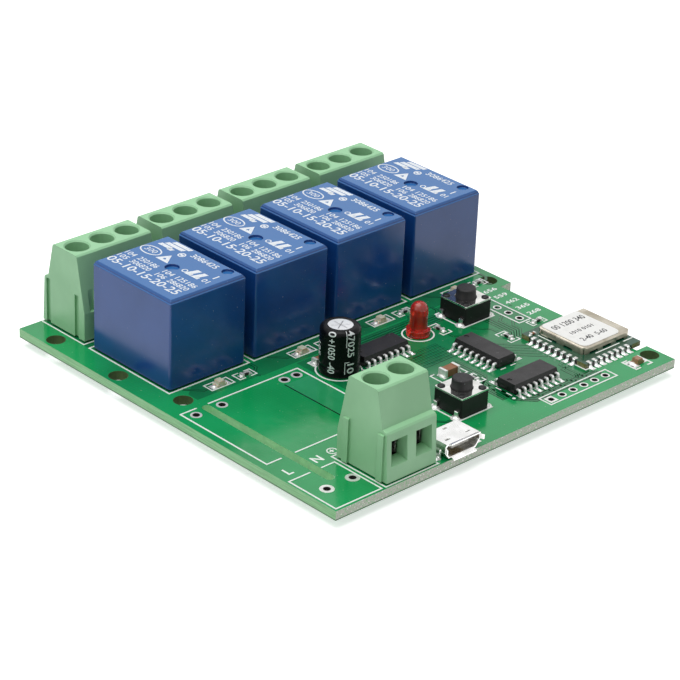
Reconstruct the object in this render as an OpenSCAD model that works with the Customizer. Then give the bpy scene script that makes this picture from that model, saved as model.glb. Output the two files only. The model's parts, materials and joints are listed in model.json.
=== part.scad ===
// Four-channel wireless relay switch board. One green circuit board carries four power
// relays with a three-way screw terminal each, a two-way supply terminal, a shielded
// radio module, two tact switches, a micro-USB socket and small parts.
//
// Places on the board are given in board coordinates: x from the left edge, y from the
// front edge and z from the top face of the board. on_board() moves them into the frame
// of the part, whose origin is under the middle of the part, level with the pin tails
// that the board stands on.

/* [Board] */
// Width of the board, along its front edge
board_w = 75; // [75:0.5:80]
// Depth of the board, from the front edge to the terminal edge
board_d = 75; // [75:0.5:80]
// Thickness of the laminate
board_t = 1.6; // [1:0.1:2]
// Length of the pin tails below the board
tail_len = 1.5; // [1.2:0.1:2.5]
// Depth of the cut-back in the right edge, beside the radio module
notch_w = 2.5; // [1:0.1:2.5]
// Front end of the cut-back
notch_y0 = 6; // [5.5:0.1:8]
// Rear end of the cut-back
notch_y1 = 36.5; // [34:0.1:37]
// Radius of the mounting holes, which clear an M3 screw
mount_r = 1.6; // [1.2:0.05:1.6]
// Width of the milled slot that keeps the mains tracks apart
slot_w = 1.6; // [1:0.1:2]

/* [Relays] */
// Distance between neighbouring relays and terminals
channel_pitch = 17.5; // [17.2:0.1:17.6]
// Width of a relay case
relay_w = 15.5; // [15:0.1:15.6]
// Length of a relay case
relay_l = 19.1; // [18.5:0.1:19.2]
// Height of a relay case
relay_h = 15.3; // [12:0.1:18]

/* [Screw terminals] */
// Distance between the poles of a screw terminal
pole_pitch = 5.08; // [5:0.01:5.08]
// Height of a terminal housing
term_h = 14.7; // [14:0.1:16]
// Depth of a terminal housing at its foot
term_d = 10.8; // [10.6:0.1:11]
// Radius of the screw access holes
screw_hole_r = 1.95; // [1.9:0.05:2]

/* [Small parts] */
// Radius of the electrolytic capacitor, over its sleeve
cap_r = 3.3; // [2.5:0.1:3.4]
// Height of the capacitor's top above the board
cap_h = 8.2; // [6:0.1:12]
// Side of a tact switch
tact_side = 6; // [6:0.1:6.2]
// Height of the tact switch buttons above the board
button_h = 5.2; // [4.6:0.1:7]
// Travel of a tact switch button
button_travel = 0.25; // [0.1:0.05:0.3]
// Width of the micro-USB socket
usb_w = 7.5; // [7.2:0.1:7.8]
// Overhang of the micro-USB socket's mouth past the front edge
usb_lip = 0.45; // [0.2:0.05:0.8]
// Height of the shield on the radio module
shield_h = 1.3; // [1.2:0.1:3]

/* [Hidden] */
$fn = 48;
eps = 0.01;

// Mounting holes, and the plated holes that are left empty
mount_holes = [[2.1, 68.1], [2.1, 52.2], [4.7, 39.5], [72.5, 39.5], [72.9, 3.6]];
header_pitch = 2.54;
front_header = [for (i = [0:5]) [49.2 + i * header_pitch, 3.4]];
side_header = [for (i = [0:4]) [66.15, 26.15 + i * header_pitch]];
header_hole_r = 0.5;
mains_holes = [[3.35, 5.5], [8.5, 5.5]];
converter_holes = [[3.15, 34.6], [8.35, 34.6], [21.3, 34.6], [23.9, 34.6]];
wide_hole_r = 0.6;
slot_x = 6;
slot_y0 = 7;
slot_y1 = 36.2;

// Centres of the channels, and the depths at which their parts stand
channels = [for (i = [0:3]) 12.5 + i * channel_pitch];
relay_y = 52.35;
term_y = board_d - term_d;
supply_x = 15.78;
supply_y = 0.55;

// Relays
relay_gap = 0.3;
relay_pin_r = 0.5;
relay_shell = 0.9;
relay_base_t = 1.7;
relay_foot_r = 0.9;
contact_x = 6;
com_y = -7.6;
coil_y = -5.6;
contact_y = 6.6;
relay_pins = [[0, com_y], [-contact_x, coil_y], [contact_x, coil_y],
              [-contact_x, contact_y], [contact_x, contact_y]];
// Round recesses in a relay's top: place, radius and depth
relay_recesses = [[0.4, -0.2, 1.2, 0.45], [6.1, -6.9, 1, 0.4]];

// Screw terminals: u runs from the plain back to the wire entry
term_pin_r = 0.5;
term_pin_u = 5.4;
screw_u = 5;
kink_z = 5.1;
ledge_z = 8.4;
chamber_u0 = 1.5;
chamber_u1 = 8.6;
chamber_w = 3.9;
chamber_z0 = 0.8;
chamber_z1 = 9.6;
cage_w = 3.6;
cage_u0 = 2.6;
cage_u1 = 8.2;
cage_z0 = 1.9;
cage_z1 = 9.3;
cage_t = 0.8;
tongue_z = 8.3;
strip_t = 0.7;
strip_w = 2.6;
screw_head_z = 9.7;
screw_head_h = 1.7;
screw_head_r = 1.85;
screw_r = 1.4;
well_rim_r = 1.75;
well_rim_z = 11.8;
well_rim_t = 0.6;

// Small parts
cap_at = [30.2, 31.6];
cap_lead_r = 0.3;
cap_lead_pitch = 2.5;
led_at = [48.85, 32.6];
led_r = 1.48;
led_flange_r = 2;
led_lead_w = 0.5;
switch_at = [[59.85, 32.7], [36.55, 10.8]];
switch_body_z = 3.2;
cover_t = 0.3;
button_r = 1.7;
button_collar_r = 2.05;
well_r = 2.35;
well_z = 1.2;
leg_x = 3.25;
leg_y = 2.25;
leg_w = 0.7;
leg_t = 0.3;
leg_hole_r = 0.55;
usb_x = 26.1;
usb_y0 = 0.2;
usb_y1 = 4.9;
usb_h = 2.7;
usb_wall = 0.25;
ic_at = [[38.8, 31.6, 0], [52, 20.6, -90], [50.6, 9.9, 0]];
ic_l = 9.9;
ic_w = 3.9;
ic_pitch = 1.27;
radio_at = [61.05, 6.85];
radio_w = 13.25;
radio_d = 14.05;
radio_t = 0.85;
shield_at = [63, 9.1];
shield_w = 11.25;
shield_d = 10.3;
channel_led_y = 39.8;

// Lowest levels of the pins and of the thinner leads, in board coordinates
tail_z = -board_t - tail_len;
lead_z = tail_z + 0.2;

module on_board() {
    translate([-board_w / 2, -(board_d - usb_lip) / 2, -tail_z]) children();
}

// Flat outline with rounded corners, centred
module rounded_rect(w, d, r) {
    square([w - 2 * r, d], center = true);
    square([w, d - 2 * r], center = true);
    for (x = [-1, 1], y = [-1, 1])
        translate([x * (w / 2 - r), y * (d / 2 - r)]) circle(r);
}

// Extrudes an outline drawn in y and z along x, centred on x = 0
module along_x(length) {
    rotate([90, 0, 90]) translate([0, 0, -length / 2]) linear_extrude(length) children();
}

// Extrudes an outline drawn in x and z along y, centred on y = 0
module along_y(length) {
    rotate([90, 0, 0]) translate([0, 0, -length / 2]) linear_extrude(length) children();
}

module at_each(places) {
    for (p = places) translate([p[0], p[1], 0]) children();
}

// Round pin with a blunt tapered tip, from a given level up to a given height
module pin(r, top, low = tail_z) {
    tip = 0.15;
    translate([0, 0, low]) cylinder(r1 = r - tip, r2 = r, h = tip);
    translate([0, 0, low + tip]) cylinder(r = r, h = top - low - tip);
}

// Places of every soldered pin, by pin size
relay_pin_places = [for (x = channels, p = relay_pins) [x + p[0], relay_y + p[1]]];
term_pin_places = concat(
    [for (x = channels, i = [-1:1]) [x + i * pole_pitch, term_y + term_pin_u]],
    [for (i = [-1, 1]) [supply_x + i * pole_pitch / 2, supply_y + term_d - term_pin_u]]);
cap_pin_places = [for (s = [-1, 1]) cap_at + [s * cap_lead_pitch / 2, 0]];
led_pin_places = [for (s = [-1, 1]) led_at + [s * header_pitch / 2, 0]];
leg_places = [for (p = switch_at, x = [-1, 1], y = [-1, 1]) p + [x * leg_x, y * leg_y]];
pin_play = 0.2;

// Laminate with its cut-back, milled slot, mounting holes and plated holes
module circuit_board() {
    color("seagreen") on_board() difference() {
        translate([0, 0, -board_t]) linear_extrude(board_t) difference() {
            square([board_w, board_d]);
            translate([board_w - notch_w, notch_y0]) square([notch_w + 1, notch_y1 - notch_y0]);
            for (y = [slot_y0 + slot_w / 2, slot_y1 - slot_w / 2])
                translate([slot_x, y]) circle(slot_w / 2);
            translate([slot_x - slot_w / 2, slot_y0 + slot_w / 2])
                square([slot_w, slot_y1 - slot_y0 - slot_w]);
        }
        translate([0, 0, -board_t - 1]) {
            at_each(mount_holes) cylinder(r = mount_r, h = board_t + 2);
            at_each(concat(front_header, side_header)) cylinder(r = header_hole_r, h = board_t + 2);
            at_each(concat(mains_holes, converter_holes)) cylinder(r = wide_hole_r, h = board_t + 2);
            at_each(relay_pin_places) cylinder(r = relay_pin_r + pin_play, h = board_t + 2);
            at_each(term_pin_places) cylinder(r = term_pin_r + pin_play, h = board_t + 2);
            at_each(cap_pin_places) cylinder(r = cap_lead_r + pin_play, h = board_t + 2);
            at_each(led_pin_places) cylinder(r = led_lead_w / 2 + pin_play, h = board_t + 2);
            at_each(leg_places) cylinder(r = leg_hole_r, h = board_t + 2);
        }
    }
}

// Side view of a relay case: slight draft, and two small steps round the top
function case_outline(w) = let (b = w / 2, s = w / 2 - 0.08)
    [[-b, 0], [b, 0], [s, relay_h - 0.62], [s - 0.16, relay_h - 0.5], [s - 0.2, relay_h - 0.3],
     [s - 0.45, relay_h], [0.45 - s, relay_h], [0.2 - s, relay_h - 0.3],
     [0.16 - s, relay_h - 0.5], [-s, relay_h - 0.62]];

// Sealed relay case: blue moulding, closed all round, with a recess below for the base
module relay_case(i) {
    color("royalblue") on_board() translate([channels[i - 1], relay_y, relay_gap]) difference() {
        intersection() {
            linear_extrude(relay_h + 1) rounded_rect(relay_w, relay_l, 0.5);
            along_y(relay_l + 1) polygon(case_outline(relay_w));
            along_x(relay_w + 1) polygon(case_outline(relay_l));
        }
        translate([0, 0, -1]) linear_extrude(1 + relay_base_t)
            rounded_rect(relay_w - 2 * relay_shell, relay_l - 2 * relay_shell, 0.3);
        for (m = relay_recesses) translate([m[0], m[1], relay_h - m[3]])
            cylinder(r = m[2], h = 1);
    }
}

// Base plate in the foot of a relay, standing on four small feet
module relay_base(i) {
    w = relay_w - 2 * relay_shell;
    l = relay_l - 2 * relay_shell;
    color("midnightblue") on_board() translate([channels[i - 1], relay_y, 0]) difference() {
        union() {
            translate([0, 0, relay_gap + 0.2]) linear_extrude(relay_base_t - 0.2)
                rounded_rect(w, l, 0.3);
            for (x = [-1, 1], y = [-1, 1])
                translate([x * (w / 2 - 1.6), y * (l / 2 - 1.4), 0])
                    cylinder(r = relay_foot_r, h = relay_gap + 0.3);
        }
        translate([0, 0, -1]) at_each(relay_pins) cylinder(r = relay_pin_r, h = relay_base_t + 3);
    }
}

// Five pins of a relay, from inside its base through the board
module relay_pins(i) {
    color("silver") on_board() translate([channels[i - 1], relay_y, 0])
        at_each(relay_pins) pin(relay_pin_r, relay_gap + relay_base_t);
}

// Side view of a terminal housing: u to the right, wire entry on the right
function term_outline() =
    [[0, 0], [0, kink_z], [1.9, term_h - 0.25], [2.2, term_h], [7.8, term_h],
     [8.1, term_h - 0.25], [9.35, ledge_z + 0.3], [10.1, ledge_z + 0.05],
     [10.35, ledge_z - 0.25], [term_d, 0.3], [term_d, 0]];

rib_u = [2, 9.35];
rib_h = [7.7, 8];

// Dovetail rail of the housings: root width at y = 0, wider at the tip
module dovetail(root, tip, reach) {
    polygon([[0, -root / 2], [reach, -tip / 2], [reach, tip / 2], [0, root / 2]]);
}

// Funnel of one wire entry, wide at the face and narrow at the chamber
module wire_entry() {
    face_w = 3.5;
    throat_w = 2.9;
    u0 = chamber_u1 - 0.3;
    u1 = term_d + 0.6;
    intersection() {
        linear_extrude(term_h) polygon([[-throat_w / 2, u0], [throat_w / 2, u0],
            [throat_w / 2, chamber_u1 + 0.4], [face_w / 2, u1], [-face_w / 2, u1],
            [-throat_w / 2, chamber_u1 + 0.4]]);
        along_x(face_w + 1) polygon([[u0, 3.2], [chamber_u1 + 0.4, 3.2], [u1, 2.5], [u1, 7.1],
            [chamber_u1 + 0.4, 6.7], [u0, 6.7]]);
    }
}

// Moulded housing of a screw terminal with the given number of poles. Each pole has a
// screw well, a chamber for the clamp, a funnel for the wire and a window in the back.
module housing_shape(poles) {
    length = poles * pole_pitch;
    difference() {
        union() {
            translate([0, 0, 0.3]) difference() {
                along_x(length) polygon([for (p = term_outline()) [p[0], max(0, p[1] - 0.3)]]);
                // Rails of the next housing slide into these grooves
                for (i = [0, 1]) translate([-length / 2, rib_u[i], -1])
                    linear_extrude(rib_h[i] + 0.8) translate([-eps, 0]) dovetail(1, 1.35, 0.45);
            }
            for (i = [0, 1]) translate([length / 2 - eps, rib_u[i], 0.3])
                linear_extrude(rib_h[i] - 0.3) dovetail(0.9, 1.25, 0.4);
            for (p = pole_places(poles), u = [1.1, term_d - 1.1])
                translate([p - 0.6, u - 0.6, 0]) cube([1.2, 1.2, 0.6]);
        }
        for (p = pole_places(poles)) translate([p, 0, 0]) {
            translate([0, screw_u, chamber_z1 - eps]) difference() {
                cylinder(r = screw_hole_r, h = term_h);
                // Rim that holds the screw's head down in its well
                translate([0, 0, well_rim_z - chamber_z1]) difference() {
                    cylinder(r = screw_hole_r + 1, h = well_rim_t);
                    translate([0, 0, -1]) cylinder(r = well_rim_r, h = well_rim_t + 2);
                }
            }
            translate([0, screw_u, term_h - 0.25]) cylinder(r1 = screw_hole_r,
                r2 = screw_hole_r + 0.3, h = 0.3);
            translate([-chamber_w / 2, chamber_u0, chamber_z0])
                cube([chamber_w, chamber_u1 - chamber_u0, chamber_z1 - chamber_z0]);
            translate([0, term_pin_u, -1]) cylinder(r = term_pin_r, h = 3);
            wire_entry();
            translate([-1.3, -1, kink_z]) cube([1.1, 1.75, 4.8]);
        }
    }
}

function pole_places(poles) = [for (i = [0:poles - 1]) (i - (poles - 1) / 2) * pole_pitch];

// Rising clamp of one pole: square tube with a threaded hole for the screw on top
module cage_shape() {
    translate([0, 0, cage_z0]) difference() {
        translate([-cage_w / 2, cage_u0, 0]) cube([cage_w, cage_u1 - cage_u0, cage_z1 - cage_z0]);
        translate([-cage_w / 2 + cage_t / 2, cage_u0 - 1, cage_t])
            cube([cage_w - cage_t, cage_u1 - cage_u0 + 2, cage_z1 - cage_z0 - 2 * cage_t]);
        translate([0, screw_u, 3]) cylinder(r = screw_r, h = 8);
    }
}

// Contact strip of one pole: a tongue inside the clamp, bent down behind it and under
// it to the round pin that is soldered into the board
module contact_shape() {
    u0 = chamber_u0 + 0.1;
    z0 = chamber_z0;
    along_x(strip_w) polygon([[u0, z0], [term_pin_u + 0.8, z0], [term_pin_u + 0.8, z0 + strip_t],
        [u0 + strip_t, z0 + strip_t], [u0 + strip_t, tongue_z - strip_t],
        [cage_u1 - 0.3, tongue_z - strip_t], [cage_u1 - 0.3, tongue_z], [u0, tongue_z]]);
    translate([0, term_pin_u, 0]) pin(term_pin_r, z0 + eps);
}

// Combination-head screw of one pole, with a straight slot and a cross
module screw_shape() {
    slot = 0.6;
    difference() {
        union() {
            translate([0, 0, screw_head_z]) cylinder(r = screw_head_r, h = screw_head_h - 0.25);
            translate([0, 0, screw_head_z + screw_head_h - 0.25])
                cylinder(r1 = screw_head_r, r2 = screw_head_r - 0.3, h = 0.25);
            translate([0, 0, tongue_z]) cylinder(r = screw_r, h = screw_head_z - tongue_z + eps);
        }
        translate([0, 0, screw_head_z + screw_head_h - 0.7]) {
            translate([-3, -slot / 2, 0]) cube([6, slot, 2]);
            translate([-slot / 2, -1.2, 0]) cube([slot, 2.4, 2]);
        }
    }
}

// Puts a part of the screw terminals on each pole of one block
module on_poles(poles) {
    for (p = pole_places(poles)) translate([p, 0, 0]) children();
}

module channel_block(i) {
    on_board() translate([channels[i - 1], term_y, 0]) children();
}

module supply_block() {
    on_board() translate([supply_x, supply_y + term_d, 0]) rotate([0, 0, 180]) children();
}

module terminal_housing(i) { color("darkseagreen") channel_block(i) housing_shape(3); }
module terminal_cages(i) { color("silver") channel_block(i) on_poles(3) cage_shape(); }
module terminal_pins(i) { color("gainsboro") channel_block(i) on_poles(3) contact_shape(); }
module supply_terminal_housing() { color("darkseagreen") supply_block() housing_shape(2); }
module supply_terminal_cages() { color("silver") supply_block() on_poles(2) cage_shape(); }
module supply_terminal_pins() { color("gainsboro") supply_block() on_poles(2) contact_shape(); }

module terminal_screws() {
    color("lightgray") {
        for (i = [1:4]) channel_block(i) on_poles(3) translate([0, screw_u, 0]) screw_shape();
        supply_block() on_poles(2) translate([0, screw_u, 0]) screw_shape();
    }
}

// Electrolytic capacitor. Radius and height below are those of the bare can.
sleeve_t = 0.15;
can_r = cap_r - sleeve_t;
can_h = cap_h - 0.08;
cap_foot = 0.4;
crimp_z = 1.7;
crimp_d = 0.1;

function can_outline(r, h, z0, shoulder) =
    [[0, z0], [r, z0], [r, crimp_z - 0.35], [r - crimp_d, crimp_z], [r, crimp_z + 0.35],
     for (a = [0:15:90]) [r - shoulder + shoulder * cos(a), h - shoulder + shoulder * sin(a)],
     [0, h]];

// Deep-drawn can with its crimped groove, open below, scored on top as a vent
module capacitor_can() {
    color("whitesmoke") on_board() translate([cap_at[0], cap_at[1], 0]) difference() {
        rotate_extrude() polygon(can_outline(can_r, can_h, cap_foot + 0.1, 0.7));
        translate([0, 0, cap_foot - 1]) cylinder(r = can_r - 0.35, h = 1.9);
        for (a = [30, 90, 150]) rotate([0, 0, a]) translate([-1.5, -0.09, can_h - 0.12])
            cube([3, 0.18, 1]);
    }
}

// Shrunk plastic sleeve, drawn in over the shoulder of the can
module capacitor_sleeve() {
    color("#202224") on_board() translate([cap_at[0], cap_at[1], 0]) difference() {
        rotate_extrude() polygon(can_outline(cap_r, cap_h, cap_foot, 0.8));
        rotate_extrude() polygon(can_outline(can_r, can_h, -1, 0.7));
        translate([0, 0, can_h - 1]) cylinder(r = 2.05, h = 3);
    }
}

// Rubber bung that closes the can, standing on the board
module capacitor_bung() {
    color("dimgray") on_board() translate([cap_at[0], cap_at[1], 0]) difference() {
        cylinder(r = can_r - 0.35, h = cap_foot + 0.5);
        translate([0, 0, -1]) for (s = [-1, 1]) translate([s * cap_lead_pitch / 2, 0, 0])
            cylinder(r = cap_lead_r, h = 4);
    }
}

module capacitor_leads() {
    color("silver") on_board() at_each(cap_pin_places) pin(cap_lead_r, cap_foot + 0.5, lead_z);
}

// Three-millimetre lamp: flange with a flat on the cathode side, straight body, dome
led_z0 = 0.1;
led_top = 6;

module led_lens() {
    flange_h = 1.1;
    color("red") on_board() translate([led_at[0], led_at[1], 0]) difference() {
        union() {
            translate([0, 0, led_z0]) cylinder(r = led_flange_r, h = flange_h);
            translate([0, 0, led_z0]) cylinder(r = led_r, h = led_top - led_r - led_z0);
            translate([0, 0, led_top - led_r]) rotate_extrude() intersection() {
                circle(led_r);
                square(led_r);
            }
        }
        translate([led_r, -3, led_z0 - 1]) cube([3, 6, flange_h + 1 + eps]);
        leadframe();
    }
}

// Two leads whose ends sit inside the lamp: a thin post and a wider one that holds the die
module leadframe() {
    for (s = [-1, 1]) translate([s * header_pitch / 2, 0, 0]) {
        translate([-led_lead_w / 2, -led_lead_w / 2, lead_z])
            cube([led_lead_w, led_lead_w, led_z0 + 0.4 - lead_z]);
    }
    along_y(0.4) {
        polygon([[-1.27, led_z0 + 0.4 - eps], [-0.9, led_z0 + 0.4 - eps], [-0.9, 2.4], [-0.1, 2.8],
            [-0.1, 3.3], [-1.1, 3.3], [-1.1, 1.6]]);
        polygon([[1.27, led_z0 + 0.4 - eps], [1.02, led_z0 + 0.4 - eps], [0.6, 2], [0.6, 3.3],
            [1, 3.3], [1, 2.1], [1.27, 1.5]]);
    }
}

module led_leads() { color("silver") on_board() translate([led_at[0], led_at[1], 0]) leadframe(); }

// Tact switches: a moulded base with a well, a snap dome in the well, a button on the
// dome, a sheet cover held by four riveted pegs, and four legs
peg_at = tact_side / 2 - 0.75;
peg_r = 0.5;
cover_top = switch_body_z + cover_t;
dome_h = 0.5 + button_travel;
dome_top = well_z + dome_h;

module in_switch(n) {
    on_board() translate([switch_at[n - 1][0], switch_at[n - 1][1], 0]) children();
}

module switch_base(n) {
    color("#26282b") in_switch(n) difference() {
        union() {
            linear_extrude(switch_body_z) rounded_rect(tact_side, tact_side, 0.25);
            for (x = [-1, 1], y = [-1, 1]) translate([x * peg_at, y * peg_at, 0]) {
                cylinder(r = peg_r, h = cover_top + eps);
                // The peg's end, melted down into a low rivet head
                translate([0, 0, cover_top]) rotate_extrude()
                    polygon([[0, 0], [0.64, 0], [0.62, 0.12], [0.42, 0.24], [0, 0.27]]);
            }
        }
        translate([0, 0, well_z]) cylinder(r = well_r, h = 4);
    }
}

// Sheet cover with the button's hole in the middle and a hole for each peg
module switch_cover(n) {
    color("gainsboro") in_switch(n) translate([0, 0, switch_body_z]) difference() {
        linear_extrude(cover_t) rounded_rect(tact_side, tact_side, 0.25);
        translate([0, 0, -1]) cylinder(r = button_r + 0.12, h = 3);
        for (x = [-1, 1], y = [-1, 1])
            translate([x * peg_at, y * peg_at, -1]) cylinder(r = peg_r, h = 3);
    }
}

// Snap dome: a shallow sprung cap whose rim stands on the floor of the well
module switch_dome(n) {
    color("silver") in_switch(n) translate([0, 0, well_z]) rotate_extrude()
        polygon([[0, dome_h - 0.12], [1, dome_h - 0.25], [1.7, 0.15], [1.85, 0], [2.15, 0],
                 [1.8, 0.3], [1.05, dome_h - 0.13], [0, dome_h]]);
}

module switch_button(n) {
    collar_z = dome_top + 0.02;
    collar_top = switch_body_z - 0.05;
    color("#2c2d30") in_switch(n) rotate_extrude() polygon([[0, collar_z],
        [button_collar_r, collar_z], [button_collar_r, collar_top], [button_r, collar_top],
        [button_r, cover_top + 0.2], [button_r - 0.08, button_h - 0.15],
        [button_r - 0.23, button_h], [0, button_h]]);
}

// One leg: it comes out of the base's side, turns down and snaps through the board
module leg() {
    side = tact_side / 2 - leg_x;
    t = leg_t / 2;
    along_y(leg_w) polygon([[side, 1.25], [0.1, 1.25], [t, 1.1], [t, 0.2], [t + 0.12, -0.8],
        [t, -1.6], [t, tail_z + 0.3], [0, tail_z], [-t, tail_z + 0.3], [-t, -1.6],
        [0.12 - t, -0.8], [-t, 0.2], [-t, 0.95], [side, 0.95]]);
}

// Puts its children at the four legs of a switch, mirrored for the left-hand pair
module each_leg() {
    for (x = [-1, 1], y = [-1, 1]) scale([x, 1, 1]) translate([leg_x, y * leg_y, 0]) children();
}

module switch_legs(n) { color("silver") in_switch(n) each_leg() leg(); }

// Small-outline chips: moulded bodies with drafted sides and a pin-one dimple
ic_z0 = 0.15;
ic_h = 1.6;
lead_t = 0.22;

function ic_outline(w) = let (b = w / 2)
    [[0.12 - b, ic_z0], [b - 0.12, ic_z0], [b, 0.85], [b, 1.05], [b - 0.16, ic_z0 + ic_h],
     [0.16 - b, ic_z0 + ic_h], [-b, 1.05], [-b, 0.85]];

module at_ic(n) {
    on_board() translate([ic_at[n - 1][0], ic_at[n - 1][1], 0])
        rotate([0, 0, ic_at[n - 1][2]]) children();
}

module ic_body(n) {
    color("#3a3a3e") at_ic(n) difference() {
        intersection() {
            along_y(ic_w + 1) polygon(ic_outline(ic_l));
            along_x(ic_l + 1) polygon(ic_outline(ic_w));
        }
        translate([0.8 - ic_l / 2, 0, ic_z0 + ic_h - 0.12]) cylinder(r = 0.42, h = 1);
    }
}

// Side view of one gull-wing lead, from the body's side out to the foot
function gull_outline() = let (b = ic_w / 2, t = lead_t)
    [[b, 0.85], [b + 0.42, 0.85], [b + 0.5, 0.72], [b + 0.62, 0.14], [b + 0.72, 0], [b + 1.25, 0],
     [b + 1.25, t], [b + 0.84, t], [b + 0.72, 0.86], [b + 0.55, 0.85 + t], [b, 0.85 + t]];

module ic_leads() {
    color("whitesmoke") for (n = [1:3]) at_ic(n)
        for (side = [0, 180], i = [0:7]) rotate([0, 0, side])
            translate([(i - 3.5) * ic_pitch, 0, 0]) along_x(0.42) polygon(gull_outline());
}

// Radio module: its own thin board with half-round soldering notches on two edges
radio_notch_r = 0.32;
radio_pitch = 1.3;
radio_left = [for (i = [0:7]) [0, 2.6 + i * radio_pitch]];
radio_front = [for (i = [0:7]) [1.05 + i * radio_pitch, 0]];

module radio_board() {
    color("darkgreen") on_board() translate([radio_at[0], radio_at[1], 0]) difference() {
        cube([radio_w, radio_d, radio_t]);
        translate([0, 0, -1]) at_each(concat(radio_left, radio_front))
            cylinder(r = radio_notch_r, h = 3);
    }
}

// Drawn shield can: thin walls, rounded corners and top edges, open below, with shallow
// gaps under its walls and a slit at the front left corner
shield_wall = 0.2;
shield_bend = 0.4;
shield_corner = 0.9;

// Side view of a can with bent top edges, reaching a little below its open underside
function bent_outline(b, h, r) = concat([[-b, -1], [b, -1]],
    [for (a = [0:22.5:90]) [b - r + r * cos(a), h - r + r * sin(a)]],
    [for (a = [90:22.5:180]) [r - b + r * cos(a), h - r + r * sin(a)]]);

// Outside of the can for an inset of 0, or its inside for an inset of the wall
module can_space(inset) {
    w = shield_w - 2 * inset;
    d = shield_d - 2 * inset;
    intersection() {
        translate([0, 0, -inset]) linear_extrude(shield_h) rounded_rect(w, d, shield_corner - inset);
        along_y(d + 1) polygon(bent_outline(w / 2, shield_h - inset, shield_bend - inset));
        along_x(w + 1) polygon(bent_outline(d / 2, shield_h - inset, shield_bend - inset));
    }
}

module radio_shield() {
    gap_h = 0.25;
    color("lightgray") on_board()
        translate([shield_at[0] + shield_w / 2, shield_at[1] + shield_d / 2, radio_t]) difference() {
            can_space(0);
            can_space(shield_wall);
            for (x = [-3.2, 0, 3.2]) translate([x - 1, -shield_d / 2 - 1, -1])
                cube([2, shield_d + 2, 1 + gap_h]);
            for (y = [-2.6, 0.8]) translate([-shield_w / 2 - 1, y, -1])
                cube([shield_w + 2, 1.9, 1 + gap_h]);
            translate([-shield_w / 2, -shield_d / 2, -1]) rotate([0, 0, 45])
                translate([0, -0.06, 0]) cube([1, 0.12, shield_h + 0.6]);
        }
}

// Chips under the shield: the radio chip, its memory and a crystal
module radio_chips() {
    color("#3a3a3e") on_board() translate([shield_at[0], shield_at[1], radio_t]) {
        translate([2, 3, 0]) linear_extrude(0.85) translate([2.5, 2.5]) rounded_rect(5, 5, 0.15);
        translate([8, 1.4, 0]) linear_extrude(0.8) translate([1.2, 1.6]) rounded_rect(2.4, 3.2, 0.15);
        translate([8, 6.2, 0]) linear_extrude(0.7) translate([1, 1.25]) rounded_rect(2, 2.5, 0.3);
    }
}

// Micro-USB socket. Its outline is wide above and tapers to a narrower floor.
usb_floor_w = 5.8;
usb_z0 = 0.2;

module usb_outline(inset) {
    t = usb_w / 2 - inset;
    f = usb_floor_w / 2 - inset * 0.6;
    polygon([[-f, usb_z0 + inset], [f, usb_z0 + inset], [t, 1.35], [t, usb_h - 0.4 - inset / 2],
        [t - 0.35, usb_h - inset], [0.35 - t, usb_h - inset], [-t, usb_h - 0.4 - inset / 2],
        [-t, 1.35]]);
}

module in_usb() { on_board() translate([usb_x, 0, 0]) children(); }

// Bent sheet shell with flared lips round the mouth, latch slots and soldering ears
module usb_shell() {
    length = usb_y1 - usb_y0;
    mid = (usb_y0 + usb_y1) / 2;
    color("gainsboro") in_usb() difference() {
        union() {
            translate([0, mid, 0]) along_y(length) usb_outline(0);
            along_x(usb_w - 1.3) polygon([[usb_y0 + eps, usb_h], [usb_y0 + eps, usb_h - usb_wall],
                [-usb_lip, usb_h + 0.05], [-usb_lip, usb_h + 0.3]]);
            along_x(usb_floor_w - 0.9) polygon([[usb_y0 + eps, usb_z0], [-usb_lip, usb_z0 - 0.3],
                [-usb_lip, usb_z0 - 0.05], [usb_y0 + eps, usb_z0 + usb_wall]]);
            for (s = [-1, 1]) scale([s, 1, 1]) translate([usb_w / 2, 0, 1.45]) {
                linear_extrude(0.75) polygon([[0, usb_y0 + eps], [0.28, -usb_lip], [0.03, -usb_lip],
                    [-usb_wall, usb_y0 + eps]]);
                for (y = [1.2, 3.4]) translate([-usb_wall, y, -1.45])
                    cube([usb_wall + 0.2, 1.1, 1.6]);
            }
        }
        translate([0, mid, 0]) along_y(length + 2) difference() {
            usb_outline(usb_wall);
            translate([-usb_w, usb_h]) square(usb_w * 2);
        }
        for (s = [-1, 1]) translate([s * 2.1 - 0.5, 1.25, usb_h - 1]) cube([1, 0.45, 2]);
        translate([-0.4, 3.9, usb_h - 1]) cube([0.8, 0.4, 2]);
    }
}

usb_block_y = 3.4;
tongue_w = 3.6;
usb_contact_pitch = 0.65;

// Moulded insulator: a block that closes the back and a tongue that carries the contacts
module usb_insulator() {
    color("#1d1d20") in_usb() difference() {
        union() {
            translate([0, (usb_block_y + usb_y1) / 2, 0]) along_y(usb_y1 - usb_block_y)
                usb_outline(usb_wall);
            translate([-tongue_w / 2, usb_y0 + 0.6, 1.35])
                cube([tongue_w, usb_block_y - usb_y0 - 0.6 + eps, 0.55]);
        }
        for (i = [-2:2]) translate([i * usb_contact_pitch, 0, 0]) usb_contact();
    }
}

// One contact: along the underside of the tongue, through the block and down to the board
module usb_contact() {
    y0 = usb_y0 + 0.9;
    along_x(0.28) polygon([[y0, 1.2], [usb_y1 + 0.02, 1.2], [usb_y1 + 0.02, 0.02],
        [usb_y1 + 0.75, 0.02], [usb_y1 + 0.75, 0.22], [usb_y1 + 0.22, 0.22],
        [usb_y1 + 0.22, 1.4], [y0, 1.4]]);
}

module usb_contacts() {
    color("gold") in_usb() for (i = [-2:2]) translate([i * usb_contact_pitch, 0, 0]) usb_contact();
}

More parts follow.
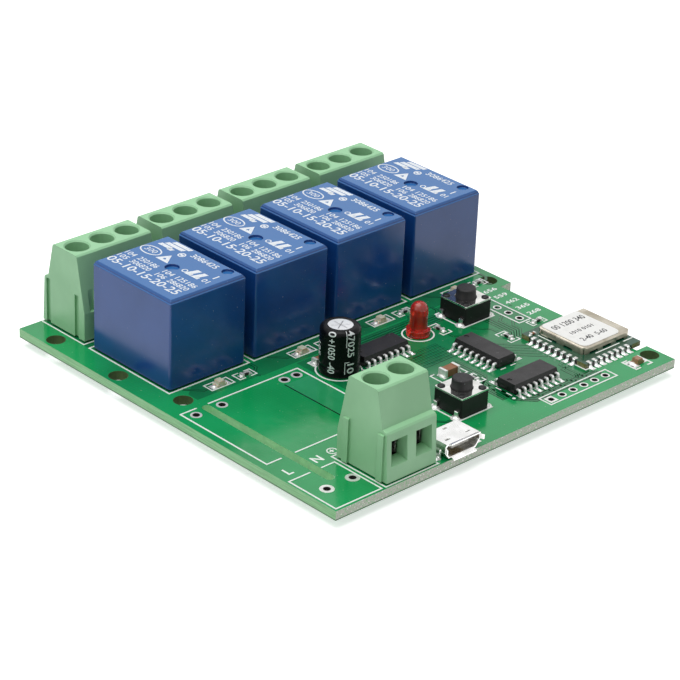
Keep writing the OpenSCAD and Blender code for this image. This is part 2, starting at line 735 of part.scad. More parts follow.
// Surface-mounted parts: centres and turns on the board
channel_leds = [for (x = channels) [x - 0.15, channel_led_y, 0]];
power_led = [[69.2, 3.05, 0]];
resistors = concat([for (x = channels) [x + 5.15, channel_led_y, 0]],
    [[52.85, 31.6, 90], [59.6, 22.6, 90], [67.5, 23.5, 0], [44.7, 15.9, 90]]);
capacitors = [[42.9, 19.6, 0, 3.2, 1.6, 1.3], [29.6, 35.65, 0, 2, 1.1, 0.9]];

module at_parts(places) {
    for (p = places) translate([p[0], p[1], 0]) rotate([0, 0, p[2]]) children();
}

// Channel lamps: a small white carrier with a clear tapered lens on it
module indicator_leds() {
    color("ivory") on_board() at_parts(concat(channel_leds, power_led)) {
        difference() {
            translate([-1, -0.62, 0]) cube([2, 1.24, 0.4]);
            for (x = [-1, 1]) translate([x, 0, -1]) cylinder(r = 0.25, h = 3);
        }
        along_y(1.24) polygon([[-0.66, 0.4 - eps], [0.66, 0.4 - eps], [0.52, 0.95], [-0.52, 0.95]]);
    }
}

// A chip with end caps that stand slightly proud of its body
module chip(l, w, h) {
    cap = l * 0.2;
    step = 0.04;
    translate([-l / 2 + step, -w / 2 + step, step]) cube([l - 2 * step, w - 2 * step, h - 2 * step]);
    for (s = [-1, 1]) translate([s * (l - cap) / 2, 0, h / 2]) cube([cap, w, h], center = true);
}

module chip_resistors() { color("#303236") on_board() at_parts(resistors) chip(1.6, 0.8, 0.45); }

module chip_capacitors() {
    color("sienna") on_board() {
        for (c = capacitors) translate([c[0], c[1], 0]) rotate([0, 0, c[2]]) chip(c[3], c[4], c[5]);
        translate([radio_at[0] + 1.1, radio_at[1] + radio_d - 1.35, radio_t]) chip(1, 0.5, 0.35);
    }
}

// Solder round one pin: it fills the plated hole and rises as a cone on the underside.
// The pin itself is cut out of it.
solder_h = 0.95;
solder_spread = 0.4;

module solder_joint(hole_r) {
    difference() {
        rotate_extrude() polygon([[0, 0], [hole_r, 0], [hole_r, -board_t],
            [hole_r + solder_spread, -board_t], [hole_r + solder_spread * 0.7, -board_t - 0.15],
            [hole_r, -board_t - solder_h * 0.5], [hole_r * 0.8, -board_t - solder_h],
            [0, -board_t - solder_h]]);
        children();
    }
}

module solder_joints() {
    color("silver") on_board() {
        at_each(relay_pin_places) solder_joint(relay_pin_r + pin_play) pin(relay_pin_r, 1);
        at_each(term_pin_places) solder_joint(term_pin_r + pin_play) pin(term_pin_r, 1);
        at_each(cap_pin_places) solder_joint(cap_lead_r + pin_play) pin(cap_lead_r, 1);
        at_each(led_pin_places) solder_joint(led_lead_w / 2 + pin_play)
            translate([-led_lead_w / 2, -led_lead_w / 2, lead_z]) cube([led_lead_w, led_lead_w, 4]);
        for (p = switch_at) translate([p[0], p[1], 0]) each_leg()
            solder_joint(leg_hole_r) leg();
    }
}

circuit_board();
relay_case(1);  // relay_case_1
relay_case(2);  // relay_case_2
relay_case(3);  // relay_case_3
relay_case(4);  // relay_case_4
relay_base(1);  // relay_base_1
relay_base(2);  // relay_base_2
relay_base(3);  // relay_base_3
relay_base(4);  // relay_base_4
relay_pins(1);  // relay_pins_1
relay_pins(2);  // relay_pins_2
relay_pins(3);  // relay_pins_3
relay_pins(4);  // relay_pins_4
terminal_housing(1);  // terminal_housing_1
terminal_housing(2);  // terminal_housing_2
terminal_housing(3);  // terminal_housing_3
terminal_housing(4);  // terminal_housing_4
terminal_cages(1);  // terminal_cages_1
terminal_cages(2);  // terminal_cages_2
terminal_cages(3);  // terminal_cages_3
terminal_cages(4);  // terminal_cages_4
terminal_pins(1);  // terminal_pins_1
terminal_pins(2);  // terminal_pins_2
terminal_pins(3);  // terminal_pins_3
terminal_pins(4);  // terminal_pins_4
supply_terminal_housing();
supply_terminal_cages();
supply_terminal_pins();
terminal_screws();
capacitor_can();
capacitor_sleeve();
capacitor_bung();
capacitor_leads();
led_lens();
led_leads();
switch_base(1);  // switch_base_1
switch_cover(1);  // switch_cover_1
switch_dome(1);  // switch_dome_1
switch_button(1);  // switch_button_1
switch_legs(1);  // switch_legs_1
switch_base(2);  // switch_base_2
switch_cover(2);  // switch_cover_2
switch_dome(2);  // switch_dome_2
switch_button(2);  // switch_button_2
switch_legs(2);  // switch_legs_2
ic_body(1);  // ic_body_1
ic_body(2);  // ic_body_2
ic_body(3);  // ic_body_3
ic_leads();
radio_board();
radio_shield();
radio_chips();
usb_shell();
usb_insulator();
usb_contacts();
indicator_leds();
chip_resistors();
chip_capacitors();
solder_joints();
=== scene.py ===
import json
import math
import random
import bmesh
import bpy
from mathutils import Matrix, Vector

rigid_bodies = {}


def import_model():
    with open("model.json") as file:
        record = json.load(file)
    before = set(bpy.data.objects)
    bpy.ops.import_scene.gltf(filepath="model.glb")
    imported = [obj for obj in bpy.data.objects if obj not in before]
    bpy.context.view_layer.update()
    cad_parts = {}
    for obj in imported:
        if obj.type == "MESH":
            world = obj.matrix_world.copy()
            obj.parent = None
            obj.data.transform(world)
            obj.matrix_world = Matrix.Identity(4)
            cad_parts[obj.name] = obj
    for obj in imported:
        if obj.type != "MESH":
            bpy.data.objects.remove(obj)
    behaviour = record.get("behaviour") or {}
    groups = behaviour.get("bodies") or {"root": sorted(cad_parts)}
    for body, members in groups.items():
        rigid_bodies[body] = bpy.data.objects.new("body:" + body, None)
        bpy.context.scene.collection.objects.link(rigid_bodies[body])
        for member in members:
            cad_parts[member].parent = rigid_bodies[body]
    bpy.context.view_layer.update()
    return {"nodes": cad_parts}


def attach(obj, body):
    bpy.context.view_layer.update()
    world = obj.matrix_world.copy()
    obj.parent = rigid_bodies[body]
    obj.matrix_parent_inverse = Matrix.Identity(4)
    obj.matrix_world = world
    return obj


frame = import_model()
world = bpy.context.scene.world or bpy.data.worlds.new("studio")
bpy.context.scene.world = world
bpy.context.scene.view_settings.view_transform = "Standard"

# The studio. The board stands on a wide pale floor in soft white light that comes from
# above and from the left. Floor and surroundings look white to the eye and in metal,
# and light the board only a little.


def put(tree, kind, sockets=None, **settings):
    n = tree.nodes.new(kind)
    for key, value in settings.items():
        setattr(n, key, value)
    for key, value in (sockets or {}).items():
        if isinstance(value, bpy.types.NodeSocket):
            tree.links.new(value, n.inputs[key])
        else:
            n.inputs[key].default_value = value
    return n


def seen_white(tree, dim, bright):
    """Value that is bright for rays from the eye, mirrors and glass, and dim for all others."""
    path = put(tree, "ShaderNodeLightPath")
    mirror = put(tree, "ShaderNodeMath", {0: path.outputs["Is Glossy Ray"],
                 1: path.outputs["Is Transmission Ray"]}, operation="MAXIMUM")
    direct = put(tree, "ShaderNodeMath", {0: path.outputs["Is Camera Ray"], 1: mirror.outputs[0]},
                 operation="MAXIMUM")
    return put(tree, "ShaderNodeMapRange", {0: direct.outputs[0], 3: dim, 4: bright}).outputs[0]


world.use_nodes = True
air = world.node_tree
sky = air.nodes["Background"]
sky.inputs["Color"].default_value = (1, 1, 1, 1)
air.links.new(seen_white(air, 0.25, 1.0), sky.inputs["Strength"])

floor_mesh = bpy.data.meshes.new("studio_floor")
floor_mesh.from_pydata([(-3, -3, 0), (3, -3, 0), (3, 3, 0), (-3, 3, 0)], [], [(0, 1, 2, 3)])
floor = bpy.data.objects.new("studio_floor", floor_mesh)
bpy.context.scene.collection.objects.link(floor)
floor_paint = bpy.data.materials.new("floor_paint")
floor_paint.use_nodes = True
ft = floor_paint.node_tree
ft.nodes["Principled BSDF"].inputs["Base Color"].default_value = (0.86, 0.86, 0.86, 1)
ft.nodes["Principled BSDF"].inputs["Roughness"].default_value = 0.9
ft.nodes["Principled BSDF"].inputs["Emission Color"].default_value = (1, 1, 1, 1)
ft.links.new(seen_white(ft, 0.0, 0.6), ft.nodes["Principled BSDF"].inputs["Emission Strength"])
floor_mesh.materials.append(floor_paint)

for name, at, aim, size, power in (
        ("lamp_above", (-0.12, 0.05, 0.75), (0, 0, 0), 0.7, 4.7),
        ("lamp_left", (-0.75, 0.05, 0.42), (0, 0, 0.01), 0.5, 0.72),
        ("lamp_front", (0.1, -0.8, 0.35), (0, 0, 0.01), 0.5, 0.1)):
    lamp = bpy.data.lights.new(name, "AREA")
    lamp.size, lamp.energy = size, power
    holder = bpy.data.objects.new(name, lamp)
    holder.location = at
    holder.rotation_euler = (Vector(aim) - Vector(at)).to_track_quat("-Z", "Y").to_euler()
    bpy.context.scene.collection.objects.link(holder)

camera = bpy.data.objects.new("camera", bpy.data.cameras.new("camera"))
bpy.context.scene.collection.objects.link(camera)
camera.data.lens, camera.data.sensor_width = 138.19, 36
camera.data.clip_start, camera.data.clip_end = 0.02, 10
camera_right = Vector((0.728619, -0.683950, 0.036417))
camera_up = Vector((0.286939, 0.353094, 0.890500))
camera_back = Vector((-0.621917, -0.638386, 0.453523))
camera.matrix_world = Matrix.Translation((-0.262941, -0.268081, 0.194893)) @ Matrix(
    (camera_right, camera_up, camera_back)).transposed().to_4x4()
bpy.context.scene.camera = camera

# The bare board. Glass-fibre laminate, 75 by 75 by 1.6 mm, with a green lacquer on both
# faces. Its left and right edges are milled and show the pale laminate, and its front and
# rear edges are snapped off a larger sheet and stay rough.
LEFT, FRONT, TOP = -37.5, -37.275, 3.1     # board corner and top face in the part, mm
THICK = 1.6


def here(x, y, z=0.0):
    """Place given from the board's front left corner and top face in mm, in metres."""
    return Vector(((x + LEFT) / 1000, (y + FRONT) / 1000, (z + TOP) / 1000))


def rgb(code):
    """Linear colour of a paint chart code."""
    parts = [int(code[i:i + 2], 16) / 255 for i in (0, 2, 4)]
    return tuple(c / 12.92 if c <= 0.04045 else ((c + 0.055) / 1.055) ** 2.4 for c in parts) + (1.0,)


def recipe(name, sockets_in, sockets_out):
    tree = bpy.data.node_groups.new(name, "ShaderNodeTree")
    for label, kind, value in sockets_in:
        s = tree.interface.new_socket(label, in_out="INPUT", socket_type="NodeSocket" + kind)
        s.default_value = value
    for label, kind in sockets_out:
        tree.interface.new_socket(label, in_out="OUTPUT", socket_type="NodeSocket" + kind)
    return tree, tree.nodes.new("NodeGroupInput").outputs, tree.nodes.new("NodeGroupOutput").inputs


def in_mm(tree):
    place = put(tree, "ShaderNodeTexCoord").outputs["Object"]
    return put(tree, "ShaderNodeVectorMath", {0: place, "Scale": 1000.0}, operation="SCALE").outputs[0]


def mix(tree, factor, a, b):
    return put(tree, "ShaderNodeMix", {0: factor, 6: a, 7: b}, data_type="RGBA").outputs[2]


def sum_of(tree, a, b, how="MULTIPLY"):
    return put(tree, "ShaderNodeMath", {0: a, 1: b}, operation=how, use_clamp=how == "ADD").outputs[0]


def noise(tree, where, scale, detail=2.0, stretch=None):
    if stretch:
        where = put(tree, "ShaderNodeVectorMath", {0: where, 1: stretch}, operation="MULTIPLY").outputs[0]
    return put(tree, "ShaderNodeTexNoise", {"Vector": where, "Scale": scale, "Detail": detail}).outputs[0]


def spread(tree, value, low, high, new_low=0.0, new_high=1.0):
    return put(tree, "ShaderNodeMapRange", {0: value, 1: low, 2: high, 3: new_low, 4: new_high}).outputs[0]


def link_out(tree, outs, **values):
    for label, value in values.items():
        tree.links.new(value, outs[label])


# Rounded edges: every moulded or pressed edge has a small radius that catches light.
edge_round, ins, outs = recipe("edge_round", [("Radius", "Float", 0.0001)], [("Normal", "Vector")])
link_out(edge_round, outs, Normal=put(edge_round, "ShaderNodeBevel", {"Radius": ins["Radius"]},
                                      samples=4).outputs[0])

# Lacquer over laminate: slow cloudiness, the faint weave of the glass cloth and dust specks.
lacquer, ins, outs = recipe(
    "lacquer_film", [("Thin", "Color", (0, 0, 0, 1)), ("Thick", "Color", (0, 0, 0, 1)),
                     ("Cloud", "Float", 0.1), ("Weave", "Float", 0.5)],
    [("Color", "Color"), ("Roughness", "Float"), ("Height", "Float")])
mm = in_mm(lacquer)
cloud = spread(lacquer, noise(lacquer, mm, ins["Cloud"], 4), 0.35, 0.65)
warp, weft = [put(lacquer, "ShaderNodeTexWave", {"Vector": mm, "Scale": 0.55, "Distortion": 0.6,
              "Detail": 1.0}, bands_direction=way).outputs[1] for way in "XY"]
cloth = sum_of(lacquer, warp, weft)
dust = spread(lacquer, noise(lacquer, mm, 2.2, 1), 0.74, 0.8, 0.0, 0.22)
both = sum_of(lacquer, cloud, sum_of(lacquer, cloth, ins["Weave"]), "ADD")
film = mix(lacquer, both, ins["Thick"], ins["Thin"])
link_out(lacquer, outs, Color=mix(lacquer, dust, film, (0.6, 0.75, 0.62, 1)),
         Roughness=spread(lacquer, noise(lacquer, mm, 0.8, 3), 0.3, 0.7, 0.10, 0.22), Height=cloth)

# Cut laminate: layers of cloth seen from the side, rougher where the sheet was snapped,
# with painted shade, a darker colour, along the foot of the edge below a set height.
cut, ins, outs = recipe(
    "cut_laminate", [("Resin", "Color", (0, 0, 0, 1)), ("Fibre", "Color", (1, 1, 1, 1)),
                     ("Snapped", "Color", (0.5, 0.5, 0.5, 1)), ("Shaded foot", "Color", (0.1, 0.2, 0.1, 1)),
                     ("Shaded foot height", "Float", 1.7)],
    [("Color", "Color"), ("Edge", "Float")])
mm = in_mm(cut)
normal = put(cut, "ShaderNodeSeparateXYZ", {0: put(cut, "ShaderNodeNewGeometry").outputs["Normal"]})
up = put(cut, "ShaderNodeMath", {0: normal.outputs[2]}, operation="ABSOLUTE").outputs[0]
edge = sum_of(cut, up, 0.5, "LESS_THAN")
across = put(cut, "ShaderNodeMath", {0: normal.outputs[1]}, operation="ABSOLUTE").outputs[0]
snapped = sum_of(cut, across, 0.999, "GREATER_THAN")
layers = spread(cut, noise(cut, mm, 1.0, 2, (0.25, 0.25, 9.0)), 0.4, 0.6)
side = mix(cut, layers, ins["Resin"], ins["Fibre"])
chips = spread(cut, noise(cut, mm, 2.6, 5, (1.0, 1.0, 2.5)), 0.5, 0.62)
rough = mix(cut, chips, ins["Snapped"], ins["Fibre"])
glints = spread(cut, noise(cut, mm, 3.2, 1), 0.66, 0.7)
rough = mix(cut, glints, rough, (0.95, 0.95, 0.92, 1))
height = put(cut, "ShaderNodeSeparateXYZ", {0: mm}).outputs[2]
# Below a set height the cut edge takes a darker colour: painted shade along its foot.
shaded_foot = sum_of(cut, height, ins["Shaded foot height"], "LESS_THAN")
link_out(cut, outs, Color=mix(cut, shaded_foot, mix(cut, snapped, side, rough), ins["Shaded foot"]), Edge=edge)


def coat(name, kind, settings, dent=0.1, depth=0.02, edge=0.1, colour=True, gloss=True, **plain):
    """Material with one surface recipe. depth and edge are in mm, plain values sit on the shader."""
    m = bpy.data.materials.new(name)
    m.use_nodes = True
    tree = m.node_tree
    shader = tree.nodes["Principled BSDF"]
    for socket, value in plain.items():
        shader.inputs[socket.replace("_", " ")].default_value = value
    g = put(tree, "ShaderNodeGroup", node_tree=kind)
    for socket, value in settings.items():
        g.inputs[socket].default_value = value
    if colour:
        tree.links.new(g.outputs["Color"], shader.inputs["Base Color"])
    if gloss:
        tree.links.new(g.outputs["Roughness"], shader.inputs["Roughness"])
    bump = put(tree, "ShaderNodeBump", {"Strength": dent, "Distance": depth / 1000,
                                        "Height": g.outputs["Height"]})
    if edge:
        r = put(tree, "ShaderNodeGroup", node_tree=edge_round)
        r.inputs["Radius"].default_value = edge / 1000
        tree.links.new(r.outputs["Normal"], bump.inputs["Normal"])
    tree.links.new(bump.outputs[0], shader.inputs["Normal"])
    return m


def laminate(name, film, resin, fibre, broken, shaded_foot, shaded_foot_height):
    """Lacquered board whose cut edges show the laminate."""
    m = coat(name, lacquer, film, dent=0.12, depth=0.01, edge=0, colour=False)
    tree = m.node_tree
    face = next(n for n in tree.nodes if n.type == "GROUP")
    sides = put(tree, "ShaderNodeGroup", node_tree=cut)
    for socket, value in (("Resin", rgb(resin)), ("Fibre", rgb(fibre)), ("Snapped", rgb(broken)),
                          ("Shaded foot", rgb(shaded_foot)), ("Shaded foot height", shaded_foot_height)):
        sides.inputs[socket].default_value = value
    tree.links.new(mix(tree, sides.outputs["Edge"], face.outputs["Color"], sides.outputs["Color"]),
                   tree.nodes["Principled BSDF"].inputs["Base Color"])
    return m


def repaint(m, mask_of, colour_of, cut_edges=False):
    """Another colour where the mask, made from x and y in the part, is 1: everywhere or on cut edges only."""
    tree = m.node_tree
    spot = put(tree, "ShaderNodeSeparateXYZ", {0: in_mm(tree)})
    goal = tree.nodes["Principled BSDF"].inputs["Base Color"]
    if cut_edges:
        goal = goal.links[0].from_node.inputs[7]
    plain = goal.links[0].from_socket
    tree.links.new(mix(tree, mask_of(tree, spot.outputs[0], spot.outputs[1]), plain, colour_of(tree)), goal)


def dress(material, *names):
    for n in names:
        for s in frame["nodes"][n].material_slots:
            s.material = material


def four(name):
    return [f"{name}_{i}" for i in range(1, 5)]


# The last two values give the painted shade along the foot of the cut edges and the height it reaches, in mm.
board_finish = laminate("green_board", {"Thin": rgb("16a05a"), "Thick": rgb("0c8f4c"), "Cloud": 0.07,
                        "Weave": 0.25}, "76b478", "88c98b", "c6c8bc", "4d7a52", 1.72)


def in_slot(tree, x, y):
    inside = sum_of(tree, sum_of(tree, x, LEFT + 3, "GREATER_THAN"), sum_of(tree, x, LEFT + 9, "LESS_THAN"))
    return sum_of(tree, inside, sum_of(tree, sum_of(tree, y, FRONT + 5, "GREATER_THAN"),
                                       sum_of(tree, y, FRONT + 37.8, "LESS_THAN")))


def painted_light_laminate(tree):
    """Wall of the milled slot, painted paler: painted light standing in for light that comes through the laminate."""
    return mix(tree, spread(tree, noise(tree, in_mm(tree), 0.5, 3), 0.4, 0.6), rgb("b4f2b4"), rgb("a0e4a6"))


# The slot walls are painted paler: painted light, as if light came through the laminate.
repaint(board_finish, in_slot, painted_light_laminate, cut_edges=True)
dress(board_finish, "circuit_board")

# Copper under the lacquer. Etched sheet copper stands a little proud of the laminate and
# darkens the lacquer over it: wide areas for the supply and the relays, and narrow tracks
# with a bare gap on each side.


def plate(bm, outline, low, high):
    """Flat plate with the given outline of board places, between two heights in mm."""
    area = sum(a[0] * b[1] - b[0] * a[1] for a, b in zip(outline, outline[1:] + outline[:1]))
    if area < 0:
        outline = outline[::-1]
    under = [bm.verts.new(here(x, y, low)) for x, y in outline]
    over = [bm.verts.new(here(x, y, high)) for x, y in outline]
    bm.faces.new(over)
    bm.faces.new(under[::-1])
    for i in range(len(over)):
        j = (i + 1) % len(over)
        bm.faces.new((under[i], under[j], over[j], over[i]))


def strip(bm, points, width, low, high, closed=False):
    """Flat strip of even width along board places, mitred at its bends."""
    pts = [Vector(p) for p in points]
    n = len(pts)
    sides = []
    for i, p in enumerate(pts):
        before = pts[i - 1] if (closed or i) else None
        after = pts[(i + 1) % n] if (closed or i < n - 1) else None
        a = (p - before).normalized() if before is not None else (after - p).normalized()
        b = (after - p).normalized() if after is not None else a
        m = Vector((-(a + b).y, (a + b).x)).normalized()
        reach = width / 2 / max(0.35, m.dot(Vector((-a.y, a.x))))
        sides.append([bm.verts.new(here(*(p + m * s * reach), z)) for z in (low, high) for s in (1, -1)])
    for i in range(n if closed else n - 1):
        p, q = sides[i], sides[(i + 1) % n]
        for a, b in ((2, 3), (3, 1), (1, 0), (0, 2)):
            bm.faces.new((p[a], p[b], q[b], q[a]))
    if not closed:
        bm.faces.new((sides[0][0], sides[0][1], sides[0][3], sides[0][2]))
        bm.faces.new((sides[-1][2], sides[-1][3], sides[-1][1], sides[-1][0]))


def ring(bm, x, y, inner, outer, low, high, steps=24):
    """Flat ring, or a tube where high and low differ much."""
    loops = []
    for r, z in ((inner, low), (outer, low), (outer, high), (inner, high)):
        loops.append([bm.verts.new(here(x + r * math.cos(a * math.tau / steps),
                                        y + r * math.sin(a * math.tau / steps), z)) for a in range(steps)])
    for k in range(4):
        a, b = loops[k], loops[(k + 1) % 4]
        for i in range(steps):
            j = (i + 1) % steps
            bm.faces.new((a[i], a[j], b[j], b[i]))


def piece(name, bm, material, body="board", smooth=False):
    bmesh.ops.recalc_face_normals(bm, faces=bm.faces)
    mesh = bpy.data.meshes.new(name)
    bm.to_mesh(mesh)
    bm.free()
    for f in mesh.polygons:
        f.use_smooth = smooth
    mesh.materials.append(material)
    o = bpy.data.objects.new(name, mesh)
    bpy.context.scene.collection.objects.link(o)
    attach(o, body)


over_copper = coat("green_over_copper", lacquer, {"Thin": rgb("0e8049"), "Thick": rgb("0a713f"),
                   "Cloud": 0.11, "Weave": 0.1}, dent=0.12, depth=0.01, edge=0)
bare_gap = coat("green_gap", lacquer, {"Thin": rgb("063f23"), "Thick": rgb("04331b"), "Cloud": 0.2,
                "Weave": 0.1}, dent=0.12, depth=0.01, edge=0)

POUR, GAP, TRACK, PAD, INK = 0.015, 0.028, 0.041, 0.054, 0.068   # heights above the board, mm
RELAYS = [12.5 + 17.5 * i for i in range(4)]                     # middle of each relay, mm from the left edge
SIDE_HEADER = [(66.15, 26.15 + 2.54 * i) for i in range(5)]
areas = bmesh.new()
cut_outs = [(a, y + b) for x, y in reversed(SIDE_HEADER)         # the holes of the side header stay open
            for a, b in ((67.9, 0.6), (x - 0.6, 0.6), (x - 0.6, -0.6), (67.9, -0.6))]
plate(areas, [(26.6, 37.6), (67.9, 37.6), *cut_outs, (67.9, 22.4), (70.8, 22.4), (70.8, 6.3), (47.4, 6.3),
              (43.6, 8.6), (43.6, 14.4), (26.6, 14.4)], 0, POUR)
for x, y in SIDE_HEADER:
    plate(areas, [(x + 0.6, y - 0.6), (67.9, y - 0.6), (67.9, y + 0.6), (x + 0.6, y + 0.6)], 0, POUR)
plate(areas, [(6.5, 38.2), (19.4, 38.2), (19.9, 37.9), (66.5, 37.9), (69.5, 40.9), (69.5, 42.2), (8.6, 42.2),
              (6.5, 40.4)], 0, POUR)
for x in RELAYS:
    plate(areas, [(x - 7.9, 42.6), (x + 7.9, 42.6), (x + 7.9, 50.6), (x - 7.9, 50.6)], 0, POUR)
    for s in (-1, 1):
        plate(areas, [(x + s * a, y) for a, y in ((0.4, 51.4), (8.2, 51.4), (8.2, 72.0), (7.8, 74.0),
                                                  (2.9, 74.0), (2.9, 64.8), (0.4, 63.0))], 0, POUR)
piece("copper_areas_top", areas, over_copper)
thin_lacquer = coat("green_thin", lacquer, {"Thin": rgb("2f9c66"), "Thick": rgb("249058"), "Cloud": 0.15,
                    "Weave": 0.1}, dent=0.12, depth=0.01, edge=0)
areas = bmesh.new()
plate(areas, [(20.35, 19.8), (25.4, 19.8), (25.4, 33.3), (20.35, 33.3)], 0, POUR)
piece("supply_area_top", areas, thin_lacquer)

tracks = []
for x in RELAYS:                                    # lamp and driver of each channel
    tracks += [[(x + 6.4, 39.9), (x + 7.4, 39.9), (x + 8.2, 40.7), (x + 8.2, 42.3)],
               [(x + 4.3, 39.9), (x + 2.6, 39.9), (x + 1.2, 39.9)],
               [(x - 1.6, 39.9), (x - 3.3, 39.9), (x - 5.6, 42.2)],
               [(x + 6.5, 38.6), (x + 7.0, 38.1)]]
for k in range(6):                                  # bus from the driver chip to the relays
    y = 37.0 - 0.62 * k
    tracks.append([(34.4 + 1.27 * k, 34.6), (34.4 + 1.27 * k, y - 0.5), (34.9 + 1.27 * k, y),
                   (51.2 + 2.6 * k, y), (52.4 + 2.6 * k, y + 1.2), (52.4 + 2.6 * k, 38.4)])
for k in range(7):                                  # logic chip to the driver chip
    y = 28.2 - 0.78 * k
    tracks.append([(48.8, y), (43.0 - 0.7 * k, y), (41.9 - 0.7 * k, y + 1.1), (41.9 - 0.7 * k, 28.9)])
for k in range(4):                                  # round the corner of the memory chip
    tracks.append([(46.3 - 0.55 * k, 12.6), (46.3 - 0.55 * k, 7.9 - 0.3 * k), (48.0 - 0.3 * k, 6.2 - 0.55 * k),
                   (61.0 + 0.4 * k, 6.2 - 0.55 * k)])
for k in range(5):                                  # logic chip down to the front
    tracks += [[(46.9 - 0.52 * k, 22.0), (46.9 - 0.52 * k, 15.4 - 0.3 * k), (45.6 - 0.52 * k, 14.1 - 0.3 * k),
                (45.0 - 0.4 * k, 8.0)]]
for k in range(5):                                  # logic chip to the radio module
    tracks.append([(55.2, 17.43 + 1.27 * k), (55.9, 17.43 + 1.27 * k), (59.2, 14.13 + 1.27 * k),
                   (60.3, 13.35 + 1.3 * k)])
for k in range(6):                                  # front header
    x = 49.2 + 2.54 * k
    tracks.append([(x, 4.0), (x, 5.2), (x - 0.9, 6.1), (x - 0.9, 6.8)])
for k in range(5):                                  # side header
    y = 26.15 + 2.54 * k
    tracks.append([(65.5, y), (64.6, y), (63.4 - 0.6 * k, y - 1.2), (63.4 - 0.6 * k, 23.4), (61.6 - 0.6 * k, 21.6)])
for k in range(2):                                  # along the radio module to the front header
    tracks.append([(60.3, 10.75 - 1.3 * k), (58.9 - 0.9 * k, 10.4 - 1.3 * k), (58.9 - 0.9 * k, 5.6)])
tracks += [[(26.1 + 0.65 * i, 5.2), (26.1 + 0.65 * i, 7.6 + abs(i)), (28.8 + 0.65 * i, 10.3 + abs(i)),
            (28.8 + 0.65 * i, 15.0), (31.0 + 0.65 * i, 17.2), (31.0 + 0.65 * i, 19.4)] for i in (-1, 0, 1)]
tracks += [[(39.9, 13.0), (41.6, 13.0), (43.4, 14.8), (44.1, 15.2)],
           [(33.2, 8.6), (31.4, 8.6), (30.0, 10.0), (30.0, 20.0), (31.4, 21.4), (40.0, 21.4), (41.2, 20.2)],
           [(52.85, 30.4), (52.85, 28.6), (53.9, 27.6)], [(47.6, 32.6), (45.8, 32.6), (44.6, 33.8)],
           [(50.1, 32.6), (51.4, 32.6), (52.2, 32.4)], [(63.1, 34.9), (64.4, 36.2), (64.4, 37.6), (62.0, 40.2)],
           [(32.4, 31.6), (33.0, 30.2), (33.6, 28.2), (33.6, 24.6), (31.6, 22.6)],
           [(28.9, 31.6), (27.6, 33.0), (27.6, 34.6)], [(59.6, 24.4), (59.6, 26.2), (57.2, 28.6)]]
gaps, cores = bmesh.new(), bmesh.new()
for t in tracks:
    strip(gaps, t, 0.54, POUR - 0.01, GAP)
    strip(cores, t, 0.3, POUR - 0.01, TRACK)
for a, b in (((34.2, 26.9), (44.2, 26.9)), ((20.25, 19.8), (20.25, 33.4)), ((25.5, 22.0), (25.5, 33.4))):
    strip(gaps, [a, b], 0.24, 0, GAP)
rng = random.Random(4)
for k in range(46):                                 # small plated holes between the two faces
    x, y = rng.uniform(27.5, 70), rng.uniform(6.5, 37.5)
    if not (59 < x and y < 21.6) and not (33 < x < 40.5 and 7 < y < 14.5):
        ring(cores, x, y, 0.0001, 0.34, POUR - 0.01, TRACK, 12)
piece("track_gaps_top", gaps, bare_gap)
piece("tracks_top", cores, over_copper)

under = bmesh.new()
for x in RELAYS:
    for a, b, c, d in ((-8.3, 43.4, -3.0, 49.0), (-8.3, 56.4, -3.4, 74.2), (3.4, 56.4, 8.3, 74.2),
                       (-2.0, 43.2, 2.0, 74.2)):
        plate(under, [(x + a, b), (x + c, b), (x + c, d), (x + a, d)], -THICK - POUR, -THICK)
plate(under, [(9.6, 2.6), (22.0, 2.6), (22.0, 12.0), (36.0, 26.0), (70.4, 26.0), (70.4, 37.6), (22.0, 37.6),
              (22.0, 24.0), (9.6, 12.0)], -THICK - POUR, -THICK)
plate(under, [(24.4, 1.0), (56.0, 1.0), (56.0, 10.4), (46.0, 24.0), (37.4, 24.0), (24.4, 11.0)],
      -THICK - POUR, -THICK)
piece("copper_areas_under", under, over_copper)

# Pads. Bare copper, tinned bright: a ring round every hole and a small rectangle under each
# lead or end of the parts soldered flat. The holes have a lining, plated in the soldering holes
# and plain drilled laminate in the mounting holes, both painted dark as painted shade inside the holes.
MOUNT_HOLES = [(2.1, 68.1), (2.1, 52.2), (4.7, 39.5), (72.5, 39.5), (72.9, 3.6)]
FRONT_HEADER = [(49.2 + 2.54 * i, 3.4) for i in range(6)]
MAINS = [(3.35, 5.5), (8.5, 5.5)]
CONVERTER = [(3.15, 34.6), (8.35, 34.6), (21.3, 34.6), (23.9, 34.6)]
RELAY_PINS = [(0, -7.6), (-6, -5.6), (6, -5.6), (-6, 6.6), (6, 6.6)]
SWITCHES = [(59.85, 32.7), (36.55, 10.8)]
LAMP = (48.85, 32.6)

sheet, ins, outs = recipe(
    "rubbed_metal", [("Bright", "Color", (0.8, 0.8, 0.8, 1)), ("Dull", "Color", (0.5, 0.5, 0.5, 1)),
                     ("Smudge", "Float", 0.6), ("Lines", "Vector", (1.0, 12.0, 12.0)),
                     ("Smooth", "Float", 0.18), ("Matt", "Float", 0.4)],
    [("Color", "Color"), ("Roughness", "Float"), ("Height", "Float")])
mm = in_mm(sheet)
smudge = spread(sheet, noise(sheet, mm, ins["Smudge"], 4), 0.38, 0.66)
lined = put(sheet, "ShaderNodeVectorMath", {0: mm, 1: ins["Lines"]}, operation="MULTIPLY").outputs[0]
gloss = put(sheet, "ShaderNodeMapRange", {0: smudge, 3: ins["Smooth"], 4: ins["Matt"]}).outputs[0]
link_out(sheet, outs, Color=mix(sheet, smudge, ins["Bright"], ins["Dull"]), Roughness=gloss,
         Height=noise(sheet, lined, 1.5))


